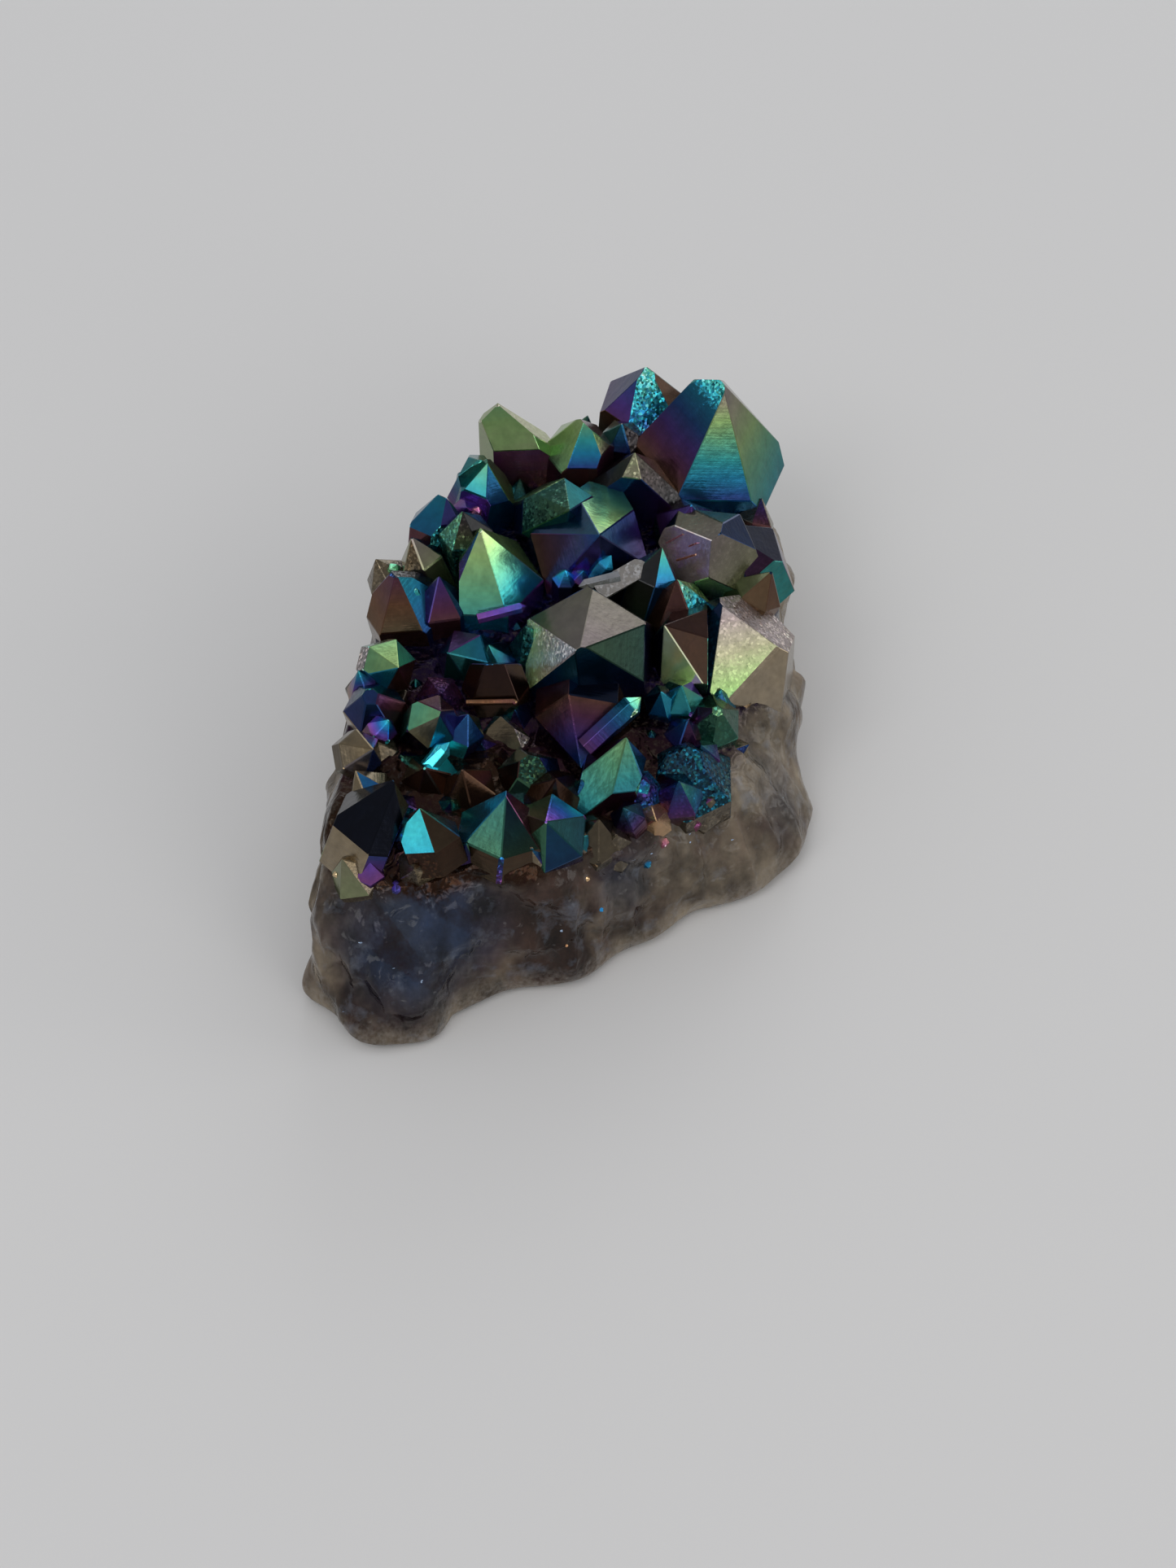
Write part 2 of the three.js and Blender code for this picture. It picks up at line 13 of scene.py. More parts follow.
import bpy
import numpy as np
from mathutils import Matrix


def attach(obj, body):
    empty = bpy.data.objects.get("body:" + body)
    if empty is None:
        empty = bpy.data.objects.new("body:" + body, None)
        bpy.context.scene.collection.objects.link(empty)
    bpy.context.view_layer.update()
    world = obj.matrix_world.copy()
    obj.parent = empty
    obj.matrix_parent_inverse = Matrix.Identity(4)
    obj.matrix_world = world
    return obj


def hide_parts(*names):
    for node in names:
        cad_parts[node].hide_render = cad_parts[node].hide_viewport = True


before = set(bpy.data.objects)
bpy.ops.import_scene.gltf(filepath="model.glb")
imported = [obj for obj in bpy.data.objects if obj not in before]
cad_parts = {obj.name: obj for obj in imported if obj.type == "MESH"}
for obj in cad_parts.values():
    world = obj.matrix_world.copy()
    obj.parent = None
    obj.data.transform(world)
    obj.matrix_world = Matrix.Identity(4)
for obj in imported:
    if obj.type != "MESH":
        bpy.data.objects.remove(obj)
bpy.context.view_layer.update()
MILLIMETRE = 0.001
STONE_SHIFT = np.array([1.6675, -9.5004, 0.0])  # from the slab's own frame to the object's

# %% [markdown]
# ## What a quartz point is
# A quartz point is a six-sided prism that ends in six sloping tip faces. Every real one leans its own way,
# and its faces sit at different distances from its axis, so some are large and some are slivers.
# Five measures place a point: its tip, how far it leans, toward where, its turn about its own axis, and
# its width.

# %% The measures of a point
TIP_FACE_TILT = np.radians(51.8)  # how far a tip face's normal leans from the axis
CRYSTAL_DEPTH = 21.0  # length from the tip to the buried end


def looking_to(azimuth, elevation=0.0):
    """The unit arrow at an azimuth and an elevation in degrees: (cos a cos e, sin a cos e, sin e)."""
    around, up = np.radians(azimuth), np.radians(elevation)
    return np.stack([np.cos(around) * np.cos(up), np.sin(around) * np.cos(up), np.sin(up) + 0 * around], -1)


def leaning(toward, lean):
    """The turn that leans the upright by `lean` degrees toward an azimuth: I + sin K + (1 - cos) K K,
    with K the cross product with the level arrow that the stone turns about."""
    x, y, z = looking_to(toward + 90)
    cross = np.array([[0, -z, y], [z, 0, -x], [-y, x, 0]])
    angle = np.radians(lean)
    return np.eye(3) + np.sin(angle) * cross + (1 - np.cos(angle)) * cross @ cross


def all_six(*film):
    """The same film on all six tip faces, or on all six walls."""
    return dict.fromkeys(range(6), film)


def point(name, tip, lean, toward, turn, width, depth=CRYSTAL_DEPTH, set=(0,) * 6, sides=(1,) * 6,
          chips=(), tips=None, walls=None, breaks=None, bare=0.0, milky=None):
    """One quartz point. `set` lowers each tip face along the axis, `sides` moves each wall in or out,
    and `chips` are flat breaks (azimuth, elevation, depth under the tip). `tips`, `walls` and `breaks`
    give the film on a face: (value at its top, value at its foot, light, rough), where light is a painted
    light or shade that makes the face brighter above 1 and darker below 1."""
    return dict(name=name, tip=np.array(tip, float), lean=lean, toward=toward, turn=turn, width=width,
                depth=depth, set=np.array(set), sides=np.array(sides), chips=chips, tips=tips or {},
                walls=walls or {}, breaks=breaks or {}, bare=bare, milky=milky)


print("a tip face leans", round(90 - np.degrees(TIP_FACE_TILT), 1), "degrees from the axis")

# %% [markdown]
# ## The points, from the back row to the front
# The film's thickness is a number from 0 to 12. As it grows, the colour runs through
# 0 bare, 1 straw, 2 orange-brown, 3 magenta, 4 violet, 5 deep blue, 6 blue, 7 teal, 8 green,
# 9 yellow-green, 10 tan, 11 mauve grey and 12 grey. On most faces it is thickest at the tip, because the
# vapour reaches the tip first, and thins toward the crevice. `light` is a painted light or shade: above 1 a
# face is painted brighter, as if it caught a light, and below 1 darker, as if it lay in shade. `rough` is 1
# where the face is etched or broken, and -1 where only its top is, and such a top is painted brighter as
# glitter.

# %% The back row
BACK_POINTS = [
    point("great point", (20.7, 19, 36), 15, -27, 40, 18, depth=38, set=(0, -0.5, -1.5, 1, 0, 0),
          sides=(1, 1.05, 0.9, 0.87, 1, 1.2), chips=((-115, 62, 0.6), (143, 27, -2.8)),
          tips={0: (11, 10.4, 0.45, 0.05), 2: (7.5, 7, 0.6), 3: (7.3, 2.1, 0.27, -1), 4: (10.5, 4.8, 0.5),
                5: (11, 6.6, 0.42)}, walls={4: (5.6, 3, 0.9)},
          breaks={0: (7.2, 7, 1.2, 0.8), 1: (11, 12, 0.3, 0.4)}),
    point("blue point behind", (11.9, 24.8, 33), 4, 28, 47, 9.7, depth=34, set=(0, -0.2, 0, -0.8, 0.2, 0),
          chips=((-40, 60, 0.7),),
          tips={2: (5.2, 4, 0.3), 3: (5, 3.6, 0.5), 4: (7.4, 5.2, 1.3, 1), 5: (2.2, 1.5, 0.4)},
          walls={3: (2, 1, 0.5), 4: (3, 2, 0.4)}, breaks={0: (7.5, 7, 1.6, 0.9)}),
    point("striped green block", (-6, 18.3, 33), 8, -90, 33, 8, set=(0, -3, 0, -3, 0, -3),
          sides=(1.3, 0.15, 0.45, 0.6, 0.88, 1.8),
          tips={0: (10, 9.7, 0.9, 0.1), 2: (9.5, 9.5, 0.6), 4: (8.6, 9.4, 0.46), 5: (8.6, 9, 0.7)},
          walls={3: (9.5, 9.5, 0.5), 4: (3.2, 2, 1.7)}),
    point("teal point beside the block", (3.7, 17, 32), 0, 0, 30, 7.4, set=(0, 0, 0, 0.8, 0, -1.2),
          tips={0: (11, 11, 0.6), 2: (9.3, 9, 0.6), 3: (9.2, 8.6, 0.5), 4: (8.3, 4.8, 0.7),
                5: (8.4, 10.5, 0.4)}, walls={3: (3, 2, 0.5), 4: (2.4, 2, 0.6), 5: (3, 3, 0.8)}),
    point("stub between the tall ones", (8.8, 18.2, 30), 12, -100, 20, 4.6,
          tips={0: (11, 11, 0.5), 2: (7.3, 7.3, 0.25), 3: (7.3, 7.3, 0.25), 4: (6, 4.6, 0.35),
                5: (12, 11.5, 0.35, 0.6)}, walls={4: (3.5, 3.5, 0.4)}),
    point("grey point", (10.3, 12.3, 31), 0, 0, 20, 12, sides=(1, 1, 1, 0.76, 0.32, 0.97),
          tips={0: (10.2, 9.7, 0.3), 2: (12, 12, 0.15), 3: (12, 12, 0.15), 4: (9.9, 10.2, 0.55, 0.2),
                5: (10.4, 12, 0.13, 0.2)}, walls={4: (5.2, 3, 0.42)}),
    point("small green point", (-6.5, 12.7, 30), 14, 44, 6, 7, set=(1.4, 0, 0, -0.4, -0.8, 0),
          tips={0: (8.5, 9, 0.6), 3: (7.8, 6.6, 0.4), 4: (8, 6.6, 0.45), 5: (5.8, 5, 0.5)},
          walls={4: (4.2, 3.4, 1.1), 5: (5.8, 4.5, 0.5)}),
    point("green point beside it", (-7.9, 11.9, 30), 22, -42, 39, 5.3, depth=9,
          set=(0, 0, 0, -1.5, 0.6, 0.3), sides=(1, 1, 0.6, 1, 1, 1), tips=all_six(7.4, 6.7, 0.4)),
    point("violet knot", (-9.6, 6.9, 27.2), 30, -90, 12, 3.6, depth=9, tips=all_six(4.2, 3.4, 0.7),
          walls=all_six(3.8, 3.2, 0.6)),
    point("blue button", (-12.7, 6.6, 30), 23, 76, 50, 6, set=(0.3, 0, 0, 0.3, -0.9, -0.9),
          tips={2: (6.3, 5.6, 0.4), 3: (6.3, 5.6, 0.4), 4: (4.6, 4.4, 0.4)},
          walls={3: (2.6, 3.4, 0.35), 4: (7.2, 7, 0.6, 0.8), 5: (7.2, 7, 0.6, 0.8)}),
]
print(len(BACK_POINTS), "points at the back")

# %% The middle rows, on the left
MIDDLE_LEFT_POINTS = [
    point("etched point", (2.6, 2.7, 31), 43, -75, 2, 9.3, sides=(1, 0.75, 0.75, 1, 1, 1),
          tips={1: (7, 6.8, 0.6), 2: (8, 7.4, 0.2, 0.3), 3: (8.4, 7.5, 0.18, 0.25), 4: (7.2, 7, 0.3)},
          walls={2: (8.4, 8, 0.4, 0.7), 3: (5, 4, 0.4), 4: (5, 2.5, 0.4)}),
    point("bright kite", (6.1, -2.2, 32), 31, -77, 17, 13, sides=(0.95, 1.4, 1, 1, 1, 1),
          tips={0: (5.5, 4.2, 0.5), 1: (9.5, 7.3, 0.85), 2: (5.9, 5, 0.25), 3: (5.2, 2.7, 0.45),
                4: (4.5, 3.6, 0.5), 5: (4.6, 4.4, 0.25)}, walls={3: (5.6, 5.4, 0.2)}),
    point("tall green point", (-7.8, -1, 32), 2, 88, 26, 12.8, chips=((165, 27, 0.1), (180, 0, -2.5)),
          tips={0: (9.2, 8.8, 0.8), 4: (9.7, 7.4, 0.75), 5: (9.7, 6.2, 0.85)},
          walls={3: (5.2, 4.8, 0.25), 4: (6.4, 4, 1), 5: (3.8, 5, 1.5)},
          breaks={0: (9, 7.6, 0.4, 0.5), 1: (9.2, 7, 0.3)}),
    point("etched neighbour", (-9.9, 1.4, 32.2), 6, 170, 30, 5.6,
          tips={3: (8.2, 7.6, 0.45, 0.6), 4: (12, 8.2, 0.1, 0.35), 5: (12, 12, 0.08)},
          walls={3: (7.6, 7.2, 0.35, 0.6), 4: (7.4, 6.8, 0.2, 0.5)}),
    point("great mauve point", (3.1, -19.4, 31), 39, -104, 55, 14.1, set=(-1, 0, 0.4, 0.2, 0, -1.4),
          sides=(1, 1, 1, 1.14, 1, 1), chips=((175, 25, -6.6),),
          tips={0: (11, 10.6, 0.32), 1: (10.7, 10.5, 0.27), 2: (12, 8.6, 2.4, 0.25), 3: (6.5, 4.8, 0.3),
                4: (6.4, 4.2, 0.14), 5: (8.2, 7.6, 0.08)},
          walls={3: (5, 2.6, 0.3), 4: (5, 2.2, 0.3), 5: (5, 3, 0.3)}, breaks={0: (9.2, 8.6, 3, 0.35)}),
    point("grey sliver", (-16, 1.3, 28), 25, 150, 10, 5,
          tips={3: (10.2, 10, 0.5), 4: (1.4, 0.8, 0.4, 0.4), 5: (11, 9.8, 0.4)}),
    point("brown point at the left", (-17.5, -4.6, 29), 10, 167, 26, 9.8,
          set=(0, 0.2, -0.2, -0.2, -0.5, 0), sides=(1, 1, 0.67, 1, 1, 1), chips=((60, 60, 0.9),),
          tips={0: (5, 4.6, 0.3), 3: (3, 1.6, 0.35), 4: (2.9, 1.2, 0.32), 5: (6.6, 5, 0.5)},
          walls={3: (1.6, 1, 0.35), 4: (2.2, 1.4, 0.25)}, breaks={0: (12, 12, 0.4, 0.8)}),
    point("khaki shoulder", (-20.3, 0.6, 25), 25, 170, 15, 5, tips=all_six(0.8, 0.4, 0.45, 0.2)),
    point("cyan sliver", (-15.2, -6, 27), 12, -30, 5, 4.5, tips=all_six(6.8, 6.2, 0.7)),
    point("dark blue neighbour", (-12.6, -5, 28), 8, 100, 40, 6.5,
          tips={3: (4.4, 4, 0.3), 4: (4.2, 2.6, 0.4), 5: (5.3, 5, 0.25)}, walls={4: (2.6, 2, 0.4)}),
    point("magenta crevice point", (-6.7, -13, 25), 8, -120, 30, 7.5,
          tips={3: (7.4, 7, 0.3), 4: (7.4, 5.6, 0.4), 5: (7.2, 3.4, 0.4)}),
    point("teal point in the crevice", (-2.5, -11.5, 26.5), 20, -160, 20, 6,
          tips=all_six(7.3, 6.8, 0.25, 0.4)),
    point("blue bead", (2.1, -3.9, 27.9), 10, -90, 30, 2.8, tips=all_six(6.3, 4.6, 1.2)),
    point("violet bead", (4.2, -4, 27.8), 20, -80, 0, 2.4, tips=all_six(5.8, 3.4, 1.2)),
    point("violet blade", (-2.3, -7.6, 25.7), 84, 14, 30, 1.2, depth=6, tips=all_six(4.4, 4, 1.4),
          walls=all_six(4.6, 3.4, 1.4)),
    point("thin blue blade", (7.5, -2.8, 29.2), 35, 20, 0, 2, depth=4, tips=all_six(6.3, 6, 1.1),
          walls=all_six(5.8, 5, 0.7)),
]
print(len(MIDDLE_LEFT_POINTS), "points in the middle, on the left")

# %% The middle rows, on the right
MIDDLE_RIGHT_POINTS = [
    point("violet point under the great one", (17, 6.6, 28), 10, -60, 10, 7,
          tips={3: (4.3, 3.6, 0.5), 4: (4, 3, 0.4), 5: (4.6, 3.4, 0.4)}, walls={3: (7, 6.5, 0.25)}),
    point("mauve block", (18.7, -0.5, 30), 24, -103, 21, 10.1, set=(-1.1, -1.2, -2.2, 1, -2, 0),
          sides=(1, 1, 1.27, 1, 0.8, 1.39), chips=((150, 68, 0.8),),
          tips={0: (5, 5, 0.2), 1: (11, 10.5, 0.4), 3: (11.1, 10.7, 1.9, 0.1),
                5: (10.9, 9.6, 0.36, 0.05)},
          walls={0: (5.1, 4.6, 0.08), 4: (8.8, 7.2, 2.2), 3: (7, 6.6, 0.4)},
          breaks={0: (10.7, 10.2, 0.35, 0.1)}),
    point("navy shoulder", (21.3, 3.5, 28), 18, 180, 10, 8.7, depth=12, set=(1, 0, 0, 0, -0.2, 0),
          sides=(1, 1.15, 1, 1, 1, 1), tips={0: (5.1, 4.6, 0.1), 5: (3.8, 3.2, 0.14)},
          walls={5: (7.2, 7, 0.4)}),
    point("teal shoulder", (26.4, -1.4, 25), 30, 20, 15, 5.6,
          tips={2: (9.9, 9.7, 0.5), 3: (9.9, 9.6, 0.5), 4: (1.6, 1.4, 0.4), 5: (2.3, 1.8, 0.3)}),
    point("teal sliver", (13.4, -1.3, 29), 28, 55, 59, 5.9, tips={3: (12, 12, 0.1), 4: (7.9, 5.2, 0.55)},
          walls={3: (12, 12, 0.1), 4: (5.3, 4.8, 0.3)}),
    point("brown wall", (15.1, -5.5, 28), 0, 0, 30, 8,
          tips={0: (8.8, 9, 0.6, 0.7), 2: (7, 6.8, 0.5), 3: (2.4, 2.2, 0.2), 4: (2.5, 2.3, 0.26),
                5: (8.4, 5.4, 1.1, 0.9)},
          walls={3: (3, 2.4, 0.25), 4: (7, 2.4, 0.3, 0.5), 5: (5, 3, 0.2)}),
    point("green blade", (13.5, -12.7, 28), 33, -151, 14, 10.8, sides=(1, 1, 1, 0.9, 0.9, 1),
          chips=((0, 0, -5.1),),
          tips={0: (2.3, 2.3, 0.14), 1: (2.3, 2.2, 0.14), 3: (5, 4.6, 0.12), 4: (9.7, 9.3, 2),
                5: (2.2, 1.8, 0.1)},
          walls={0: (2.2, 1.8, 0.14), 1: (2.2, 1.8, 0.14), 4: (8.4, 6, 0.5), 5: (7.6, 5, 0.3)}),
    point("pink point", (21.5, -8.1, 28), 0, 0, 48, 14, depth=25, set=(-0.7, -0.4, -0.6, 0, 1.3, -2.6),
          chips=((20, 48, 1.8), (-60, 21, -2.2)),
          tips={2: (5, 5, 0.15), 3: (5, 5, 0.15), 4: (11.4, 8.6, 0.54, 0.1)},
          walls={3: (5.2, 4.6, 0.4), 4: (0.6, 0.1, 0.9), 5: (0.3, 0, 1)},
          breaks={0: (11.2, 10.9, 0.85, 0.4), 1: (0.5, 0.2, 0.9)}),
    point("bare chipped ridge", (12.1, -2.8, 28.3), 78, 30, 30, 2.3, depth=7.5, chips=((-60, 60, 0.5),),
          bare=0.5, milky=0.9, tips=all_six(12, 12, 0.9, 0.25), walls=all_six(12, 12, 0.8, 0.25),
          breaks={0: (12, 12, 1, 0.3)}),
]
print(len(MIDDLE_RIGHT_POINTS), "points in the middle, on the right")

# %% The front rows, on the left
FRONT_LEFT_POINTS = [
    point("green step", (-16.8, -19.3, 28), 46, -61, 53, 5.9, depth=6.5, sides=(1, 1, 1, 0.8, 1, 1),
          tips={0: (7.8, 7.4, 0.7), 1: (9.2, 8.6, 0.5), 2: (8.8, 8.4, 0.5), 3: (6.6, 6.2, 0.5),
                4: (2.4, 2.2, 0.4), 5: (2.4, 2.2, 0.4)}, walls={2: (11.6, 10.4, 0.6, 0.8)}),
    point("pale corner", (-21.6, -17.4, 25.5), 20, 170, 10, 5.2, tips=all_six(7, 1.5, 0.5)),
    point("navy point", (-20.2, -21.8, 27), 14, -120, 34, 6.4, chips=((-90, 62, 1),),
          tips={3: (5, 4.6, 0.25), 4: (5.1, 4.6, 0.25), 5: (3.4, 2.4, 0.3)}, walls={3: (1.2, 0.8, 0.6)},
          breaks={0: (5, 4.8, 0.3)}),
    point("khaki corner", (-20.8, -26.6, 24.5), 20, -150, 20, 5.4, tips=all_six(1.1, 0.5, 0.42, 0.2)),
    point("cyan flake", (-17.8, -25, 25.5), 25, -20, 25, 3.2, depth=8, tips=all_six(6.9, 3.4, 1.3)),
    point("end-on point", (-12.1, -26.5, 28), 31, -63, 54, 5.4, set=(-0.8, -0.6, 0.2, 0.2, 0, -0.2),
          tips={0: (3.2, 2.6, 0.3), 1: (3.2, 2.6, 0.3), 2: (8.3, 8, 0.65), 3: (10.3, 10.1, 0.4),
                4: (6.8, 5.8, 0.7), 5: (4.7, 4.4, 0.5)}, walls={3: (5, 5, 0.1), 4: (6, 4.8, 0.4)}),
    point("blue tablet", (-8.8, -24.5, 26), 15, -20, 15, 4.6,
          tips={3: (4.6, 4.4, 0.5), 4: (5.2, 5, 0.5), 5: (5.2, 5, 0.5)},
          walls={3: (6.9, 6.7, 1.1), 4: (6.9, 6.6, 1.1)}),
    point("teal slope", (-11.4, -15.2, 26), 40, -130, 10, 6,
          tips={0: (7, 6, 0.4), 1: (3.9, 3.6, 0.4), 3: (4.6, 4.3, 0.3), 4: (7.3, 6.9, 0.25),
                5: (7.3, 6.9, 0.25)}),
    point("purple lump", (-12, -20.5, 25), 30, -80, 30, 5, tips=all_six(3.7, 3.1, 0.45, 0.3)),
    point("brown tent", (-5.9, -17.9, 27), 6, -90, 30, 6.8, set=(-2, 0, -2, 0, 1.6, 0),
          tips={3: (2.4, 2, 0.08), 4: (2.3, 1.9, 0.1), 5: (2.4, 2, 0.07)}, walls={4: (1.8, 1.6, 0.5)}),
    point("khaki ledge", (-5.2, -21.9, 22.6), 5, -90, 30, 7, depth=9, set=(0, 0, 0, -1.2, 0, -1.2),
          tips={4: (0.9, 0.5, 0.5), 3: (0.9, 0.5, 0.35), 5: (11, 10.8, 1.1, 0.8), 0: (12, 8, 0.3, 0.6)},
          walls=all_six(0.8, 0.4, 0.5)),
    point("orange line", (-3.2, -20, 23), 88, 0, 30, 0.7, depth=6, tips=all_six(2, 1.7, 0.6),
          walls=all_six(2.2, 1.8, 0.6)),
    point("bright flake", (-10.9, -27.2, 24.3), 60, 42, 0, 1.8, depth=5, tips=all_six(6.6, 6.6, 1.5),
          walls=all_six(6.8, 6.6, 1.6)),
    point("dark keel", (4, -27.5, 20), 92, -92, 75, 10, depth=12,
          tips={0: (5.3, 2.2, 0.34), 1: (5.4, 2.1, 0.5), 2: (5, 4.4, 0.2), 5: (2.6, 2.2, 0.1)},
          walls={0: (5, 4.8, 0.08), 1: (2.4, 3.4, 0.3)}),
    point("black mirror", (-17, -34.9, 27), 25, 38, 47, 8.5, depth=12, set=(0, 0, 0.5, 0.8, 0, 0),
          sides=(1, 1, 1, 1.1, 1.26, 0.66),
          tips={2: (12, 12, 0.3), 3: (5, 4.8, 0.03), 4: (5, 4.8, 0.03), 5: (10, 10, 0.4)},
          walls={3: (0.6, 0.3, 0.8), 5: (4.7, 4.4, 1.2)}),
    point("cyan tent", (-13.9, -38.3, 26), 25, 129, 14, 6.4, depth=8.5, set=(0, 0, 0, -1.2, 0, 0),
          tips={3: (6.8, 6.5, 1.5), 4: (6.9, 6.6, 1.6), 5: (1.6, 1.4, 0.15)},
          walls={3: (2, 1.4, 0.15), 4: (2.2, 1.6, 0.12, 0.3), 5: (2, 1.4, 0.12)}),
    point("brown films", (-13.6, -30.8, 24), 20, -100, 35, 6.5,
          tips={0: (6.9, 6.8, 1.4), 1: (7.2, 7, 0.3), 2: (1.2, 1, 0.5), 3: (2.4, 2.1, 0.22),
                4: (2.3, 2, 0.2), 5: (2.4, 2, 0.2)}),
    point("orange films", (-9.4, -31.4, 24.4), 10, -140, 10, 6, tips=all_six(2.1, 1.7, 0.2),
          walls=all_six(2.2, 1.6, 0.4)),
    point("mauve point in the front", (-19.3, -30.2, 26.5), 42, -40, 20, 5, depth=5,
          tips={0: (1.4, 1, 0.5), 1: (1.4, 1, 0.5), 2: (1, 0.8, 0.5), 3: (0.9, 0.6, 0.5),
                4: (11.8, 11, 0.4), 5: (4.7, 4.9, 0.55)}),
    point("khaki bead", (-21.4, -31.6, 24.5), 30, 160, 5, 4.6,
          tips={0: (0.8, 0.4, 0.6), 1: (0.8, 0.4, 0.6), 2: (0.8, 0.4, 0.6), 3: (0.8, 0.4, 0.6),
                4: (0.9, 0.4, 0.6), 5: (5.5, 5.2, 0.6)}),
    point("pale cut block", (-22.6, -42, 21.5), 25, -150, 25, 6,
          tips=all_six(1, 0.4, 0.7, 0.2) | {3: (9.9, 9.8, 0.4), 4: (10, 9.8, 0.4)},
          walls=all_six(0.5, 0.1, 0.9)),
    point("purple flake", (-19.5, -42.3, 21.5), 12, -60, 10, 3.4, tips=all_six(4.1, 3.3, 0.9),
          walls=all_six(3.8, 3.2, 0.8)),
]
print(len(FRONT_LEFT_POINTS), "points in the front, on the left")

# %% The front rows, on the right
FRONT_RIGHT_POINTS = [
    point("glassy stub", (-1.6, -29.2, 24), 8, -60, 15, 8.4, chips=((-75, 58, 1.6),),
          tips={2: (7.8, 7.6, 0.2), 3: (2.4, 2, 0.12), 4: (8.2, 8, 0.2)},
          breaks={0: (7.8, 8.3, 0.14, 1)}),
    point("slender blue prism", (10.8, -22.2, 26.3), 62, 34, 20, 2.3, depth=8.6,
          tips=all_six(8.4, 7.4, 1), walls=all_six(6.2, 3.4, 0.42)),
    point("teal kite", (9.1, -27.1, 25), 14, 35, -10, 7.7, sides=(0.75, 1, 1, 1, 1.9, 1),
          tips={0: (8.3, 5, 0.3), 3: (2.6, 3, 0.2), 4: (8.7, 6.4, 0.4), 5: (8.3, 6.6, 0.32)},
          walls={4: (7.2, 6.7, 0.7), 3: (4.6, 3.4, 1.2), 5: (3, 2.4, 0.25)}),
    point("teal step under the blade", (15.5, -18.4, 24), 12, -80, 30, 4.6,
          tips={0: (4.6, 4, 1.1), 1: (9, 8.6, 0.6), 3: (6.6, 6.2, 0.6), 4: (7, 6.7, 0.5),
                5: (8, 7, 0.5)}),
    point("blue step under the blade", (13.1, -18.9, 23.5), 15, -110, 15, 4,
          tips={3: (5, 5, 0.15), 4: (6.3, 5.5, 0.6), 5: (6.5, 6.3, 0.6)}),
    point("violet step", (16.2, -21.5, 21.5), 10, -60, 40, 4.4,
          tips={2: (5.4, 4.5, 0.7), 3: (5.4, 4.4, 0.7), 4: (3.5, 3, 0.25)}, walls={3: (3, 2, 0.5)}),
    point("khaki block", (6, -36, 21.2), 12, -40, 10, 6.4, depth=9, tips=all_six(0.8, 0.5, 0.3),
          walls={3: (1, 0.6, 0.3)}),
    point("violet wreck", (10.8, -30.5, 21), 20, -80, 40, 5, chips=((-60, 55, 0.9),),
          tips=all_six(4, 5.8, 0.6, 0.7), breaks={0: (4.4, 6.6, 0.9, 0.9)}),
    point("dark green point", (19.8, -20.6, 22.5), 20, -60, 0, 6.2, chips=((-80, 70, 0.7),),
          tips=all_six(8, 7.7, 0.2, 0.15) | {3: (3.2, 3, 0.3)}, breaks={0: (8, 9, 0.6, 0.7)}),
    point("dark stub", (16, -26.6, 22.4), 8, -90, 0, 10.4, chips=((-70, 66, 1.9), (-120, 50, 2.1)),
          tips=all_six(5.6, 6.4, 0.2, 1), walls=all_six(0.4, 0.1, 0.4, 0.2) | {0: (5.6, 6.4, 0.22, 1)},
          breaks={0: (5.8, 6.8, 0.3, 1), 1: (5.6, 6.6, 0.24, 1)}),
    point("teal point in the front", (-4.3, -36.5, 27), 12, 63, 59, 11.6, set=(0, 0, 0.5, 0, 0, 0.5),
          sides=(1, 1, 1, 0.78, 0.78, 1), depth=9.5,
          tips={2: (5.8, 6.8, 0.5), 3: (7.3, 7.9, 0.25), 4: (5, 8, 0.06), 5: (3.2, 2.2, 0.5)},
          walls={3: (1.6, 1, 0.2), 4: (1.6, 1, 0.2)}),
    point("green tent", (0.1, -39.5, 25), 25, -96, 54, 8, depth=8,
          tips={0: (3.3, 6, 1.9), 1: (9.6, 9.6, 0.2), 2: (9.6, 9.6, 0.2), 3: (8, 7.8, 0.26),
                4: (5.6, 5.2, 0.22), 5: (7, 6.4, 0.16)}),
    point("dark slope", (1.2, -32, 23.5), 15, -60, 20, 6.6, tips=all_six(2.2, 1.8, 0.18)),
    point("khaki roll", (8, -36.6, 19), 30, -70, 25, 6.4, tips=all_six(0.5, 0.2, 0.42, 0.2)),
    point("amber point", (12.5, -34, 18.4), 40, -75, 10, 4.4, tips=all_six(1.6, 1.3, 1.1)),
    point("khaki roll at the right", (19, -29.5, 17), 35, -55, 15, 6,
          tips=all_six(0.6, 0.3, 0.45, 0.2) | {3: (3.3, 2.6, 0.8)}),
]
NAMED_POINTS = (BACK_POINTS + MIDDLE_LEFT_POINTS + MIDDLE_RIGHT_POINTS + FRONT_LEFT_POINTS
                + FRONT_RIGHT_POINTS)
print(len(FRONT_RIGHT_POINTS), "points in the front, on the right;", len(NAMED_POINTS), "named in all")

# %% [markdown]
# ## The broken slab's outline, and the small points
# Between the big points the crust is full of low ones, and a ring of small ones leans out over the rim.
# Placing each by hand would take a day and show nothing more, so a repeatable random source places them.
# The outline is a closed curve through a few places on the rim and on the foot.

